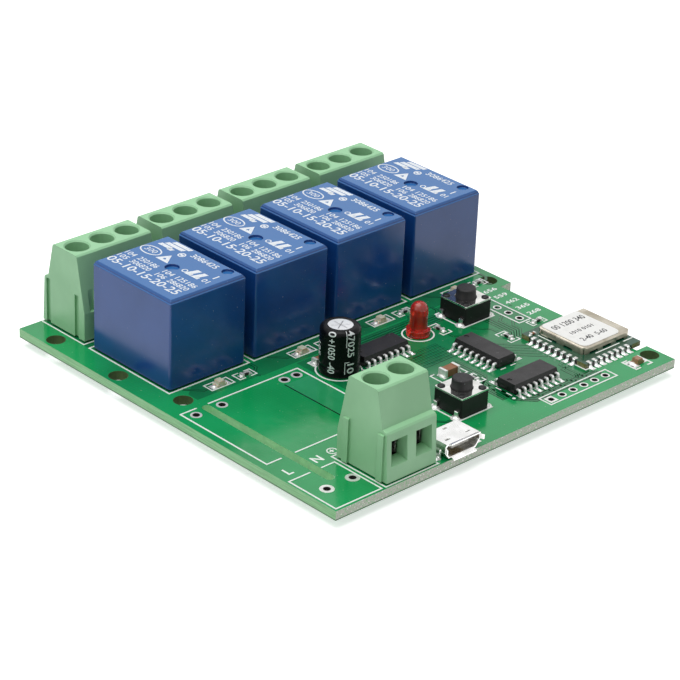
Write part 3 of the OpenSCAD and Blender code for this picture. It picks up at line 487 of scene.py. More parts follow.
def metal(name, bright, dull, smudge, lines, smooth, matt, dent=0.15, depth=0.02, edge=0.05, sheen=1.0):
    return coat(name, sheet, {"Bright": rgb(bright), "Dull": rgb(dull), "Smudge": smudge, "Lines": lines,
                "Smooth": smooth, "Matt": matt}, dent=dent, depth=depth, edge=edge, Metallic=sheen)


tin = metal("tinned_copper", "f4f4f2", "d4d5d2", 1.4, (3, 3, 3), 0.35, 0.55, dent=0.2, edge=0, sheen=0.6)
solder_metal = metal("solder_metal", "f6f6f5", "c6c8c8", 2.2, (3, 3, 3), 0.16, 0.38, dent=0.5, depth=0.05, edge=0)
# Near-black tubes in the plated holes: painted shade inside the holes.
hole_shade_lining = metal("hole_shade_lining", "191613", "0f0d0b", 2.0, (3, 3, 3), 0.6, 0.8, edge=0, sheen=0.0)
# Dark olive walls in the mounting holes: laminate colour darkened as painted shade inside the holes.
shaded_drilled = coat("shaded_drilled_laminate", lacquer, {"Thin": rgb("46602e"), "Thick": rgb("3a4f26"), "Cloud": 0.8,
               "Weave": 0.3}, dent=0.2, depth=0.02, edge=0, gloss=False, Roughness=0.7)

pads, shade_linings, shaded_walls = bmesh.new(), bmesh.new(), bmesh.new()
for low, high in ((0, PAD), (-THICK - PAD, -THICK)):
    for x, y in (FRONT_HEADER[1:] if high > 0 else FRONT_HEADER) + SIDE_HEADER:
        ring(pads, x, y, 0.49, 0.74, low, high)
    for x, y in MAINS:
        ring(pads, x, y, 0.59, 1.15, low, high)
    for x, y in CONVERTER:
        ring(pads, x, y, 0.59, 0.95, low, high)
for x, y in FRONT_HEADER + SIDE_HEADER:
    ring(shade_linings, x, y, 0.44, 0.5, -THICK - PAD, PAD, 20)
for x, y in MAINS + CONVERTER:
    ring(shade_linings, x, y, 0.54, 0.6, -THICK - PAD, PAD, 20)
for x, y in MOUNT_HOLES:
    ring(shaded_walls, x, y, 1.57, 1.6, -THICK, 0, 36)
x, y = FRONT_HEADER[0]                              # first pin of the header has a square pad
for a, b, c, d in ((-0.86, -0.86, 0.86, -0.45), (-0.86, 0.45, 0.86, 0.86), (-0.86, -0.45, -0.45, 0.45),
                   (0.45, -0.45, 0.86, 0.45)):
    plate(pads, [(x + a, y + b), (x + c, y + b), (x + c, y + d), (x + a, y + d)], 0, PAD)
PIN_HOLES = ([(x + p, 52.35 + q, 0.7) for x in RELAYS for p, q in RELAY_PINS] +
             [(x + 5.08 * i, 69.6, 0.7) for x in RELAYS for i in (-1, 0, 1)] +
             [(15.78 + s * 2.54, 5.95, 0.7) for s in (-1, 1)] + [(30.2 + s * 1.25, 31.6, 0.5) for s in (-1, 1)] +
             [(LAMP[0] + s * 1.27, LAMP[1], 0.45) for s in (-1, 1)] +
             [(a + u * 3.25, b + v * 2.25, 0.55) for a, b in SWITCHES for u in (-1, 1) for v in (-1, 1)])
for x, y, r in PIN_HOLES:
    ring(pads, x, y, r, r + 0.5, -THICK - PAD, -THICK)
    ring(pads, x, y, r, r + 0.4, 0, PAD)
piece("pads", pads, tin)
piece("hole_shade_linings", shade_linings, hole_shade_lining)
piece("mounting_hole_shaded_walls", shaded_walls, shaded_drilled)
dress(solder_metal, "solder_joints")
pin_metal = metal("tinned_pins", "f4f4f2", "cfcfcb", 1.0, (8, 8, 1), 0.2, 0.36)
dress(pin_metal, *four("relay_pins"), *four("terminal_pins"), "supply_terminal_pins", "capacitor_leads",
      "led_leads", "switch_legs_1", "switch_legs_2", "ic_leads")

# White print. Epoxy ink screened on the lacquer: an outline for each part, plain numbers
# beside the side header, and the letters L and N at the mains holes.


def letters(bm, words, height, x, y, z, turn=0.0, thick=0.02, bold=0.02, span=None):
    """Raised letters centred on a board place. height is that of a capital and span their length, in mm."""
    curve = bpy.data.curves.new("letters", "FONT")
    curve.body, curve.align_x, curve.align_y = words, "CENTER", "CENTER"
    curve.size, curve.offset, curve.resolution_u = height / 0.70, bold, 3
    curve.extrude = thick / 2
    o = bpy.data.objects.new("letters", curve)
    mesh = bpy.data.meshes.new_from_object(o)
    ends = [v.co.x for v in mesh.vertices]
    wide = span / (max(ends) - min(ends)) if span else 1.0
    mesh.transform(Matrix.Diagonal((wide / 1000, 1 / 1000, 1 / 1000, 1)))
    mesh.transform(Matrix.Translation(here(x, y, z + thick / 2)) @ Matrix.Rotation(math.radians(turn), 4, "Z"))
    bm.from_mesh(mesh)
    for data, store in ((o, bpy.data.objects), (curve, bpy.data.curves), (mesh, bpy.data.meshes)):
        store.remove(data)


def rectangle(x0, y0, x1, y1):
    return [(x0, y0), (x1, y0), (x1, y1), (x0, y1)]


def around(x, y, w, d):
    return rectangle(x - w / 2, y - d / 2, x + w / 2, y + d / 2)


def turned(x, y, points, turn):
    """Board places of points that are given from a part's middle, with the part turned in degrees."""
    spin = Matrix.Rotation(math.radians(turn), 2)
    return [tuple(Vector((x, y)) + spin @ Vector(p)) for p in points]


LINE = 0.26


def brackets(bm, x, y, length, width, arm, turn=0, line=LINE * 0.8):
    """Square bracket printed at each end of a small part."""
    for s in (-1, 1):
        strip(bm, turned(x, y, [(s * (length / 2 - arm), width / 2), (s * length / 2, width / 2),
              (s * length / 2, -width / 2), (s * (length / 2 - arm), -width / 2)], turn), line, 0, INK)


ink_film, ins, outs = recipe("ink_film", [("Ink", "Color", (1, 1, 1, 1)), ("Worn", "Color", (0.7, 0.7, 0.7, 1)),
                                          ("Spots", "Float", 3.0)],
                             [("Color", "Color"), ("Roughness", "Float"), ("Height", "Float")])
mm = in_mm(ink_film)
spots = noise(ink_film, mm, ins["Spots"], 4)
link_out(ink_film, outs, Color=mix(ink_film, spread(ink_film, spots, 0.56, 0.78), ins["Ink"], ins["Worn"]),
         Roughness=spread(ink_film, spots, 0.3, 0.7, 0.45, 0.65), Height=spots)


def print_ink(name, fresh, worn, spots):
    return coat(name, ink_film, {"Ink": rgb(fresh), "Worn": rgb(worn), "Spots": spots}, depth=0.01, edge=0)


white_ink = print_ink("white_ink", "f6f8f5", "bcd8c4", 2.2)
RELAY_OUTLINE = (-8.15, 42.45, 8.35, 62.35)         # left, front, right, rear, from the relay's middle in x
CHIPS = [(38.8, 31.6, 0), (52.0, 20.6, 90), (50.6, 9.9, 0)]     # middle and turn
CONVERTER_OUTLINE = [(4.3, 16.4), (1.35, 16.4), (1.35, 36.2), (4.6, 36.2)]
ink = bmesh.new()
for x in RELAYS:
    strip(ink, rectangle(x - 8.15, 42.45, x + 8.35, 62.35), LINE, 0, INK, closed=True)
    strip(ink, around(x - 0.05, 40.0, 4.6, 2.1), LINE * 0.8, 0, INK, closed=True)
    brackets(ink, x + 5.15, 39.9, 3.5, 1.9, 1.2)
    strip(ink, rectangle(x - 8.05, 63.85, x + 8.05, 74.86), LINE, 0, INK, closed=True)
strip(ink, rectangle(10.35, 0.35, 21.2, 12.0), LINE, 0, INK, closed=True)
strip(ink, CONVERTER_OUTLINE, LINE, 0, INK)
strip(ink, [(6.9, 36.2), (25.5, 36.2), (25.5, 16.4), (7.0, 16.4)], LINE, 0, INK)
strip(ink, [(4.7, 10.55), (0.45, 10.55), (0.45, 0.48), (9.6, 0.48), (9.6, 10.55), (6.9, 10.55)], LINE, 0, INK)
strip(ink, rectangle(47.9, 2.15, 63.35, 4.75), LINE, 0, INK, closed=True)
strip(ink, rectangle(64.75, 24.85, 67.5, 37.6), LINE, 0, INK, closed=True)
strip(ink, rectangle(28.0, 34.95, 31.2, 36.45), LINE * 0.8, 0, INK, closed=True)
for x, y, length, width, turn in ((52.85, 31.6, 3.7, 2.0, 90), (59.6, 22.6, 3.6, 2.1, 90), (67.5, 23.5, 3.4, 1.6, 0),
                                  (44.7, 15.9, 2.8, 2.6, 90)):
    brackets(ink, x, y, length, width, 0.9, turn)
brackets(ink, 42.8, 19.5, 5.7, 2.7, 0.9)
brackets(ink, 69.2, 3.05, 3.8, 3.0, 1.1, line=LINE * 1.2)
ring(ink, *LAMP, 2.5, 2.76, 0, INK, 40)
ring(ink, 30.2, 31.6, 3.6, 3.85, 0, INK, 48)
for cx, cy in SWITCHES:
    strip(ink, around(cx, cy, 7.3, 6.5), LINE, 0, INK, closed=True)
for cx, cy, turn in CHIPS:
    for s in (-1, 1):
        for a, b in ((0.55, 1.75), (-1.75, -0.55)):
            strip(ink, turned(cx, cy, [(s * 5.3, a), (s * 5.3, b)], turn), LINE * 0.85, 0, INK)
    ring(ink, *turned(cx, cy, [(5.7 if turn else -5.7, -2.6)], turn)[0], 0.02, 0.28, 0, INK, 14)
strip(ink, [(60.85, 8.9), (60.85, 6.62), (61.8, 6.62)], LINE, 0, INK)
for i, (x, y) in enumerate(SIDE_HEADER):
    letters(ink, str(268 + 97 * i), 0.95, 69.9, y + 0.2, 0, bold=0.03, span=2.9)
for words, height, x, y in (("L", 1.7, 2.3, 12.8), ("N", 1.7, 8.2, 12.8), ("+", 1.1, 11.6, 13.25)):
    letters(ink, words, height, x, y, 0, bold=0.05)
ring(ink, 11.6, 13.2, 0.72, 0.92, 0, INK, 20)
piece("board_print", ink, white_ink)

ink = bmesh.new()
for x in RELAYS:
    strip(ink, rectangle(x - 8.15, 42.45, x + 8.35, 62.35), LINE, -THICK - INK, -THICK, closed=True)
    for k in (-5.08, 0, 5.08):
        strip(ink, [(x + k - 0.7, 66.6), (x + k + 0.7, 66.6)], 0.22, -THICK - INK, -THICK)
strip(ink, CONVERTER_OUTLINE, LINE, -THICK - INK, -THICK)
piece("board_print_under", ink, white_ink)

# Relays. Sealed cases of glossy blue plastic, moulded with a small double step round the
# top, each on a darker base plate with five pins. The print on top is white pad ink.
moulding, ins, outs = recipe(
    "moulded_plastic", [("Skin", "Color", (0.5, 0.5, 0.5, 1)), ("Flow", "Color", (0.4, 0.4, 0.4, 1)),
                        ("Patch", "Float", 0.2), ("Grain", "Float", 6.0), ("Shine", "Float", 0.25),
                        ("Dull", "Float", 0.45), ("Dust", "Float", 0.0), ("Top", "Color", (0.5, 0.5, 0.5, 1))],
    [("Color", "Color"), ("Roughness", "Float"), ("Height", "Float")])
mm = in_mm(moulding)
patch = spread(moulding, noise(moulding, mm, ins["Patch"], 3), 0.35, 0.65)
specks = spread(moulding, noise(moulding, mm, 2.6, 1), 0.76, 0.8)
# Faces that look up take the top colour: painted light from above.
upward = put(moulding, "ShaderNodeSeparateXYZ", {0: put(moulding, "ShaderNodeNewGeometry").outputs["Normal"]})
skin = mix(moulding, spread(moulding, upward.outputs[2], 0.5, 0.9), mix(moulding, patch, ins["Skin"], ins["Flow"]),
           ins["Top"])
link_out(moulding, outs, Color=mix(moulding, sum_of(moulding, specks, ins["Dust"]), skin, (0.75, 0.76, 0.78, 1)),
         Roughness=put(moulding, "ShaderNodeMapRange", {0: patch, 3: ins["Shine"], 4: ins["Dull"]}).outputs[0],
         Height=noise(moulding, mm, ins["Grain"], 2))


def plastic(name, skin, flow, patch, grain, shine, dull, dust=0.0, dent=0.2, depth=0.02, edge=0.1, lit_top=None,
            **plain):
    """Moulded plastic. The top colour is painted on faces that look up, as painted light from above, where it differs
    from the skin.
    """
    return coat(name, moulding, {"Skin": rgb(skin), "Flow": rgb(flow), "Patch": patch, "Grain": grain,
                "Shine": shine, "Dull": dull, "Dust": dust, "Top": rgb(lit_top or skin)},
                dent=dent, depth=depth, edge=edge, **plain)


# The case tops are painted a paler blue: painted light from the lamp above.
blue = plastic("relay_blue", "1a4b92", "164485", 0.12, 2.5, 0.14, 0.26, dust=0.15, dent=0.08, edge=0.2, lit_top="2d70b4")
base_blue = plastic("relay_base_blue", "1b3763", "172f56", 0.3, 5, 0.4, 0.55)
dress(blue, *four("relay_case"))
dress(base_blue, *four("relay_base"))
pad_ink = print_ink("relay_ink", "eef3f8", "a3bbda", 2.6)
CASE_TOP, RELAY_Y, FILM = 15.6, 52.35, 0.014
for i, x in enumerate(RELAYS):
    ink = bmesh.new()

    def on_top(u, v):
        """Place on the case: u runs from its rear end to its front end, v from left to right."""
        return x - 7.75 + v, RELAY_Y + 9.55 - u

    def line_of(words, height, u, v, span, bold=0.02):
        letters(ink, words, height, *on_top(u, v), CASE_TOP, turn=-90, thick=FILM, bold=bold, span=span)

    def rule(points, width, closed=False):
        strip(ink, [on_top(*p) for p in points], width, CASE_TOP, CASE_TOP + FILM, closed)

    def block(points):
        plate(ink, [on_top(*p) for p in points], CASE_TOP, CASE_TOP + FILM)

    line_of("05-10-15-20-25", 1.65, 9.1, 2.85, 16.9, bold=0.035)
    for v, words in ((6.3, ("104", "250186", "104", "125186")), (4.7, ("105", "306820", "106", "286820"))):
        for u, span, text in zip((1.7, 6.1, 10.95, 15.2), (2.2, 4.6, 2.2, 4.6), words):
            line_of(text, 1.12, u, v, span, bold=0.015)
    rule([(2.8 + 2.1 * math.cos(a * math.tau / 28), 9.6 + 1.28 * math.sin(a * math.tau / 28))
          for a in range(28)], 0.24, closed=True)
    line_of("300", 1.1, 2.8, 9.6, 2.5, bold=0)
    block([(3.9, 11.8), (4.9, 11.8), (5.2, 12.5), (4.2, 12.5)])
    rule([(5.75, 8.75), (7.6, 8.75), (6.5, 10.25)], 0.62, closed=True)
    for u0, u1, v in ((1.5, 4.2, 12.05), (2.1, 6.2, 13.0), (2.8, 6.9, 13.95)):
        block([(u0, v), (u1, v), (u1 + 0.3, v + 0.78), (u0 + 0.3, v + 0.78)])
    rule([(7.3 + 0.6 * math.cos(a * math.tau / 20), 12.2 + 0.6 * math.sin(a * math.tau / 20))
          for a in range(20)], 0.24, closed=True)
    rule([(6.95, 12.2), (7.65, 12.2)], 0.5)
    line_of("3086425", 1.2, 11.4, 13.4, 6.0, bold=0.02)
    rule([(11.95 + 0.45 * math.cos(a * math.tau / 16), 8.9 + 0.45 * math.sin(a * math.tau / 16))
          for a in range(16)], 0.2, closed=True)
    for u in (12.4, 14.0):
        block([(u, 8.3), (u + 1.0, 8.3), (u + 1.7, 10.6), (u + 0.7, 10.6)])
        block([(u + 1.0, 8.3), (u + 1.5, 8.3), (u + 1.5, 9.0), (u + 1.1, 9.0)])
    line_of("01", 1.1, 17.0, 8.9, 1.3)
    line_of("1", 1.3, 16.95, 10.95, None, bold=0.05)
    piece(f"relay_print_{i + 1}", ink, pad_ink)

# Screw terminals. Pale green moulded housings with a steel clamp, a tinned contact and a
# plated screw for each wire, pressed in from below and soldered to the board by the
# contact's pin.
# The housing tops are painted a paler green: painted light from the lamp above.
mint = plastic("terminal_green", "98cc9f", "90c397", 0.16, 7, 0.38, 0.5, dust=0.1, dent=0.22, edge=0.1, lit_top="9fd6a6")
dress(mint, *four("terminal_housing"), "supply_terminal_housing")
plated = metal("plated_steel", "d5d6d2", "9fa09b", 0.9, (1, 14, 14), 0.24, 0.44, dent=0.2, edge=0.08)
dress(plated, *four("terminal_cages"), "supply_terminal_cages")
screw_steel = metal("screw_steel", "b4b5b0", "868782", 1.8, (9, 9, 2), 0.28, 0.48, dent=0.25, edge=0.1)
dress(screw_steel, "terminal_screws")

# Capacitor. Drawn aluminium can, scored on top, in a glossy black shrink sleeve that turns
# in over its shoulder, on a rubber bung. Print on the sleeve: plain numbers up its side and
# a pale stripe with minus marks on the side of the negative lead.
can_metal = metal("can_aluminium", "fbfcfd", "e2e5e8", 0.5, (6, 6, 6), 0.3, 0.5, dent=0.1, edge=0.1, sheen=0.85)
sleeve_black = plastic("sleeve_black", "0c0d0f", "08090b", 0.5, 1.2, 0.2, 0.3, dent=0.1, depth=0.03, edge=0.15,
                       Specular_IOR_Level=0.12)
bung_black = plastic("bung_rubber", "1a1a1a", "131313", 0.8, 8, 0.6, 0.75, dent=0.3, edge=0.05)
dress(can_metal, "capacitor_can")
dress(sleeve_black, "capacitor_sleeve")
dress(bung_black, "capacitor_bung")
sleeve_ink = print_ink("sleeve_ink", "e3e6e8", "8d9094", 3.0)
CAP, RADIUS, SHOULDER, SHOULDER_Z = (30.2, 31.6), 3.3, 0.8, 7.4


def wrapped(bm, flat, angle):
    """Bends flat work, drawn with x round the can, y out of it and z up it in mm, on to the sleeve and
    over its round shoulder."""
    for axis, cuts in ((0, [k * 0.2 for k in range(-9, 10)]), (2, [SHOULDER_Z + k * 0.15 for k in range(8)])):
        for at in cuts:
            side = Vector((axis == 0, 0, axis == 2))
            bmesh.ops.bisect_plane(flat, geom=flat.verts[:] + flat.edges[:] + flat.faces[:], dist=1e-5,
                                   plane_co=side * at, plane_no=side)
    for v in flat.verts:
        turn = math.radians(angle) + v.co.x / RADIUS
        lean = max(0.0, v.co.z - SHOULDER_Z) / SHOULDER
        r = RADIUS - SHOULDER + (SHOULDER + v.co.y) * math.cos(lean)
        z = min(v.co.z, SHOULDER_Z) + (SHOULDER + v.co.y) * math.sin(lean)
        v.co = here(CAP[0] + r * math.cos(turn), CAP[1] + r * math.sin(turn), z)
    mesh = bpy.data.meshes.new("wrapped")
    flat.to_mesh(mesh)
    flat.free()
    bm.from_mesh(mesh)
    bpy.data.meshes.remove(mesh)


def flat_bar(bm, angle, x0, x1, z0, z1):
    flat = bmesh.new()
    bmesh.ops.create_cube(flat, size=1.0, matrix=Matrix.Translation(((x0 + x1) / 2, 0.01, (z0 + z1) / 2)) @
                          Matrix.Diagonal((x1 - x0, 0.02, z1 - z0, 1.0)))
    wrapped(bm, flat, angle)


def down_the_side(bm, words, height, angle, z, span):
    """Letters that read down the sleeve, their feet to the left."""
    curve = bpy.data.curves.new("letters", "FONT")
    curve.body, curve.align_x, curve.align_y = words, "CENTER", "CENTER"
    curve.size, curve.extrude, curve.resolution_u, curve.offset = height / 0.70, 0.01, 3, 0.02
    o = bpy.data.objects.new("letters", curve)
    mesh = bpy.data.meshes.new_from_object(o)
    ends = [v.co.x for v in mesh.vertices]
    long = span / (max(ends) - min(ends))
    mesh.transform(Matrix(((0, 1, 0, 0), (0, 0, 1, 0.011), (-long, 0, 0, z), (0, 0, 0, 1))))
    flat = bmesh.new()
    flat.from_mesh(mesh)
    for data, store in ((o, bpy.data.objects), (curve, bpy.data.curves), (mesh, bpy.data.meshes)):
        store.remove(data)
    wrapped(bm, flat, angle)


marks = bmesh.new()
for z in (2.35, 3.9, 5.45):
    flat_bar(marks, 15, -0.75, 0.75, z, z + 0.32)
for x in (-1.05, 1.05):
    flat_bar(marks, 15, x - 0.06, x + 0.06, 1.9, 7.0)
for words, height, angle, z, span in (("0", 1.3, -158, 7.8, 0.9), ("+1050", 1.15, -158, 5.2, 3.6), ("-40", 1.15, -158, 1.9, 1.9),
                                      ("47025", 1.2, -102, 6.1, 4.6), ("10", 1.2, -102, 2.0, 1.7),
                                      ("105", 1.0, 150, 4.5, 2.4), ("40", 1.1, 95, 4.6, 1.6)):
    down_the_side(marks, words, height, angle, z, span)
flat_bar(marks, -115, -0.06, 0.06, 5.6, 8.5)
flat_bar(marks, -118, -0.06, 0.06, 0.9, 3.0)
flat_bar(marks, -117, -0.1, 0.7, 2.9, 3.02)
piece("capacitor_print", marks, sleeve_ink)
# Grey strips at the floor of the scored lines: painted shade in the grooves of the can top.
score_shade = plastic("score_shade", "8f9194", "7c7e81", 1.5, 6, 0.5, 0.7, edge=0)
score_shades = bmesh.new()
for a in (30, 90, 150):
    strip(score_shades, turned(*CAP, [(-1.45, 0), (1.45, 0)], a), 0.14, 8.0, 8.03)
piece("can_score_shades", score_shades, score_shade)

# Red lamp. Tinted clear epoxy cast round the ends of its two leads, with a domed top.
red = plastic("red_epoxy", "ff4c3a", "fb3e2c", 0.4, 1.5, 0.06, 0.12, dent=0.05, Transmission_Weight=0.72, IOR=1.5,
              Subsurface_Weight=0.5, Subsurface_Scale=0.001)
dress(red, "led_lens")

# Tact switches. Black moulded base, bright sheet cover held by four melted pegs, a sprung
# dome in the well and a matt black button that travels a quarter of a millimetre.
black = plastic("switch_black", "0c0d0e", "090a0a", 0.5, 6, 0.4, 0.55, dust=0.12, Specular_IOR_Level=0.3)
matt_black = plastic("button_black", "1e1d1f", "171618", 0.6, 9, 0.45, 0.6, dust=0.15, dent=0.3, edge=0.14,
                     Specular_IOR_Level=0.4)
cover_metal = metal("switch_cover_metal", "efefec", "d9d9d5", 0.8, (1, 16, 16), 0.06, 0.14, dent=0.08, depth=0.01,
                    edge=0.1)
dress(black, "switch_base_1", "switch_base_2")
dress(cover_metal, "switch_cover_1", "switch_cover_2", "switch_dome_1", "switch_dome_2")
dress(matt_black, "switch_button_1", "switch_button_2")

# Chips. Dark epoxy bodies with a fine matt texture from the mould, on tinned gull-wing
# leads, each foot in a small fillet of solder on its pad.
epoxy = plastic("chip_epoxy", "1c1a1c", "171517", 0.5, 14, 0.38, 0.5, dust=0.2, dent=0.35, depth=0.03, edge=0.08,
                Specular_IOR_Level=0.42)
lead_tin = metal("lead_tin", "ffffff", "dcdcda", 1.4, (6, 6, 6), 0.3, 0.5, sheen=0.6)
dress(epoxy, "ic_body_1", "ic_body_2", "ic_body_3", "radio_chips")
dress(lead_tin, "ic_leads")


def lump(bm, x, y, levels, steps=12):
    """Solder shape of stacked ovals: (height, half length in x, half width in y), closed at both ends."""
    loops = [[bm.verts.new(here(x + rx * math.cos(t * math.tau / steps), y + ry * math.sin(t * math.tau / steps), z))
              for t in range(steps)] for z, rx, ry in levels]
    for a, b in zip(loops, loops[1:]):
        for t in range(steps):
            u = (t + 1) % steps
            bm.faces.new((a[t], a[u], b[u], b[t]))
    bm.faces.new(loops[0][::-1])
    bm.faces.new(loops[-1])


def mound(bm, x, y, rx, ry, rz, low=0.0):
    """Low dome of solder on a board place."""
    rise = [k * math.pi / 2 / 4.4 for k in range(5)]
    lump(bm, x, y, [(low + rz * math.sin(a), rx * math.cos(a), ry * math.cos(a)) for a in rise], steps=10)


rises = bmesh.new()
for cx, cy in SWITCHES:
    for u in (-1, 1):
        for v in (-1, 1):
            mound(rises, cx + u * 3.25, cy + v * 2.25, 0.78, 0.7, 0.42)
piece("switch_solder", rises, tin, smooth=True)
feet, flat_pads = bmesh.new(), bmesh.new()
for cx, cy, turn in CHIPS:
    for side in (-1, 1):
        for k in range(8):
            x, y = turned(cx, cy, [((k - 3.5) * 1.27, side * 2.95)], turn)[0]
            plate(flat_pads, around(x, y, *((1.7, 0.66) if turn else (0.66, 1.7))), 0, PAD)
            sx, sy = turned(x, y, [(0, side * 0.34)], turn)[0]
            mound(feet, sx, sy, *((0.42, 0.28) if turn else (0.28, 0.42)), 0.24)
piece("chip_solder", feet, solder_metal, smooth=True)

# Radio module. A thin dark green board soldered on by half-round notches, with a bent and
# nickel-plated shield over its chips and a white paper label on the shield. Its cut edge is
# painted near black between the notches as painted shade, and bare tan laminate past the ends of the two rows.
# The cut edge colours are near black: painted shade on the module's edge between the notches.
module_green_shaded_edge = laminate("module_board", {"Thin": rgb("16523a"), "Thick": rgb("0f4530"), "Cloud": 0.3,
                        "Weave": 0.1}, "17150f", "201c14", "17150f", "17150f", 0)
MODULE = (61.05, 6.85)                              # front left corner of the module


def bare_ends(tree, x, y):
    far = [sum_of(tree, x, MODULE[0] + 11.2 + LEFT, "GREATER_THAN"),
           sum_of(tree, y, MODULE[1] + 12.4 + FRONT, "GREATER_THAN")]
    corner = sum_of(tree, sum_of(tree, x, MODULE[0] + 0.6 + LEFT, "LESS_THAN"),
                    sum_of(tree, y, MODULE[1] + 1.9 + FRONT, "LESS_THAN"))
    return sum_of(tree, sum_of(tree, *far, "MAXIMUM"), corner, "MAXIMUM")


def tan_laminate(tree):
    return mix(tree, spread(tree, noise(tree, in_mm(tree), 1.3, 3), 0.4, 0.6), rgb("8a8152"), rgb("5f6a3e"))


repaint(module_green_shaded_edge, bare_ends, tan_laminate, cut_edges=True)
nickel = metal("shield_nickel", "cfc8b9", "aaa291", 0.35, (1, 10, 10), 0.24, 0.4, dent=0.12, edge=0.12)
dress(module_green_shaded_edge, "radio_board")
dress(nickel, "radio_shield")
MODULE_TOP, SHIELD_TOP = 0.85, 2.15
notch_pads, notch_solder, module_print = bmesh.new(), bmesh.new(), bmesh.new()
NOTCHES = ([(MODULE[0], MODULE[1] + 2.6 + 1.3 * i, -1, 0) for i in range(8)] +
           [(MODULE[0] + 1.05 + 1.3 * i, MODULE[1], 0, -1) for i in range(8)])
NOTCH_SOLDER = ((0, 0.86, 0.5), (0.06, 0.8, 0.48), (0.16, 0.5, 0.38), (0.34, 0.3, 0.3), (0.6, 0.2, 0.27),
                (0.88, 0.26, 0.3), (0.92, 0.2, 0.24))      # height, reach and half width of the solder in a notch
for x, y, u, v in NOTCHES:
    lump(notch_solder, x + u * 0.02, y + v * 0.02, [(z, r, w) if u else (z, w, r) for z, r, w in NOTCH_SOLDER])
    plate(flat_pads, around(x + u * 0.3, y + v * 0.3, 1.5 if u else 0.9, 1.5 if v else 0.9), 0, PAD)
    plate(notch_pads, around(x - u * 0.36, y - v * 0.36, 0.72 if u else 0.62, 0.72 if v else 0.62),
          MODULE_TOP, MODULE_TOP + 0.04)
for x0, y0, x1, y1 in ((65.2, 8.4, 71.0, 8.62), (71.9, 8.36, 74.1, 8.6), (62.55, 15.8, 62.75, 18.8)):
    plate(module_print, rectangle(x0, y0, x1, y1), MODULE_TOP, MODULE_TOP + 0.02)
piece("module_pads", notch_pads, tin)
piece("module_solder", notch_solder, solder_metal, smooth=True)
piece("module_print", module_print, white_ink)

paper = print_ink("label_paper", "fafaf7", "f0f0ec", 0.8)
black_ink = print_ink("label_ink", "242426", "6b6b6c", 3.5)
label = bmesh.new()
outline = []
for cx, cy, a0, r in ((71.2, 10.5, -90, 1.1), (71.6, 18.6, 0, 0.6), (64.3, 18.3, 90, 0.9), (64.6, 10.6, 180, 1.2)):
    outline += [(cx + r * math.cos(math.radians(a0 + a)), cy + r * math.sin(math.radians(a0 + a)))
                for a in range(0, 91, 15)]
LABEL_INK = SHIELD_TOP + 0.07
plate(label, outline, SHIELD_TOP, LABEL_INK)
piece("radio_label", label, paper)
words = bmesh.new()
for text, height, x, y, span in (("00 1200 340", 1.3, 67.9, 17.0, 7.4), ("1010 0101", 0.85, 67.8, 14.0, 5.2),
                                 ("2-40", 1.1, 66.2, 11.4, 2.6), ("5-60", 1.1, 69.6, 11.4, 2.4)):
    letters(words, text, height, x, y, LABEL_INK, thick=0.01, span=span)
piece("radio_label_print", words, black_ink)

# Micro-USB socket. Nickel-plated sheet folded round an insulator painted pale grey, partly as
# painted light reflected inside the mouth, with five gold contacts, its flared mouth just past the board's edge and
# its ears soldered down.
usb_metal = metal("usb_nickel", "fbfbfa", "ececea", 0.5, (1, 12, 12), 0.16, 0.32, dent=0.1, edge=0.08)
# Pale insulator colour: its own grey, painted paler as painted reflected light inside the mouth.
socket_grey_lit = plastic("usb_insulator_grey_lit", "c6c4bc", "aeaca4", 0.5, 8, 0.4, 0.55, edge=0.05)
gold = metal("contact_gold", "e0cc98", "c4ae7c", 1.0, (8, 1, 8), 0.16, 0.3, dent=0.1, depth=0.01, edge=0.04)
dress(usb_metal, "usb_shell")
dress(socket_grey_lit, "usb_insulator")
dress(gold, "usb_contacts")
USB_X = 26.1
ears = bmesh.new()
for side in (-1, 1):
    for y in (1.75, 3.95):
        plate(flat_pads, around(USB_X + side * 4.3, y, 1.5, 1.5), 0, PAD)
        mound(ears, USB_X + side * 4.2, y, 0.55, 0.6, 0.4)
for k in range(-2, 3):
    plate(flat_pads, around(USB_X + 0.65 * k, 5.6, 0.36, 1.3), 0, PAD)
    mound(ears, USB_X + 0.65 * k, 5.75, 0.15, 0.3, 0.16)
piece("usb_solder", ears, solder_metal, smooth=True)

# Small parts soldered flat. Channel lamps with a clear lens on a pale carrier, an amber power lamp, black chip
# resistors with a number on top, and brown ceramic capacitors, all with tinned ends.
lamp_body = plastic("lamp_resin", "d9d3bd", "c9c3ab", 1.2, 4, 0.2, 0.35, dent=0.1, edge=0.06,
                    Subsurface_Weight=0.3, Subsurface_Scale=0.0008)
resistor_black = plastic("resistor_glaze", "2a2827", "211f1e", 1.5, 6, 0.25, 0.4, dent=0.1, depth=0.01, edge=0.04)


def amber(tree):
    return mix(tree, spread(tree, noise(tree, in_mm(tree), 1.6, 2), 0.42, 0.6), rgb("8a7048"), rgb("a8795e"))


repaint(lamp_body, lambda tree, x, y: sum_of(tree, y, FRONT + 10, "LESS_THAN"), amber)
ceramic = plastic("capacitor_ceramic", "8f6040", "7d5236", 1.0, 7, 0.4, 0.55, edge=0.08)
dress(lamp_body, "indicator_leds")
dress(resistor_black, "chip_resistors")
dress(ceramic, "chip_capacitors")
caps = bmesh.new()
SKIN = 0.03                                         # thickness of the tin over a chip's ends


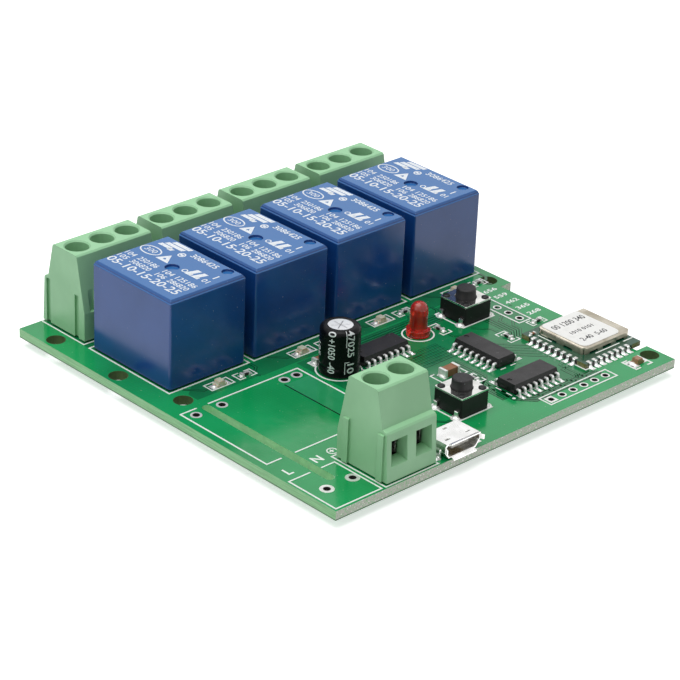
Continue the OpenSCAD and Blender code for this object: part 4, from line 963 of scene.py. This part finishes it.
def end_caps(x, y, turn, length, width, height, low=0.0):
    """Tinned ends wrapped over a chip, with a fillet of solder at each."""
    inner, outer, half = length / 2 - min(0.45, length * 0.21), length / 2 + SKIN, width / 2 + SKIN
    for s in (-1, 1):
        plate(caps, turned(x, y, [(s * outer, -half), (s * outer, half), (s * inner, half), (s * inner, -half)], turn),
              low, low + height + SKIN)
        fillet = turned(x, y, [(s * (length / 2 + 0.12), 0)], turn)[0]
        mound(caps, *fillet, *((width * 0.45, 0.3) if turn else (0.3, width * 0.45)), min(0.4, height * 0.62), low)
        if not low:
            reach = length * 0.395 + 0.2
            plate(flat_pads, turned(x, y, [(s * reach + a, b) for a, b in around(0, 0, 0.9, width * 1.1)], turn), 0, PAD)


RESISTORS = [(x + 5.15, 39.8, 0) for x in RELAYS] + [(52.85, 31.6, 90), (59.6, 22.6, 90), (67.5, 23.5, 0),
                                                     (44.7, 15.9, 90)]
for place in RESISTORS:
    end_caps(*place, 1.6, 0.8, 0.45)
end_caps(42.9, 19.6, 0, 3.2, 1.6, 1.3)
end_caps(29.6, 35.65, 0, 2.0, 1.1, 0.9)
end_caps(MODULE[0] + 1.1, MODULE[1] + 12.7, 0, 1.0, 0.5, 0.35, low=MODULE_TOP)
for x, y, reach in [(x - 0.15, 39.8, 1.85) for x in RELAYS] + [(69.2, 3.05, 1.8)]:
    for s in (-1, 1):
        plate(flat_pads, [(x + s * 0.78, y - 0.66), (x + s * reach, y - 0.66), (x + s * reach, y + 0.66),
                          (x + s * 0.78, y + 0.66)], 0, PAD)
        mound(caps, x + s * 1.2, y, 0.42, 0.5, 0.34)
plate(flat_pads, around(68.15, 3.1, 1.3, 2.3), 0, PAD)
mound(caps, 68.15, 3.1, 0.6, 1.0, 0.42)
piece("chip_ends", caps, tin)
numbers = bmesh.new()
for k, (x, y, turn) in enumerate(RESISTORS):
    letters(numbers, ("102", "103", "472")[k % 3], 0.42, x, y, 0.45, turn=turn, thick=0.012, bold=0.01)
piece("resistor_numbers", numbers, white_ink)
piece("flat_pads", flat_pads, tin)
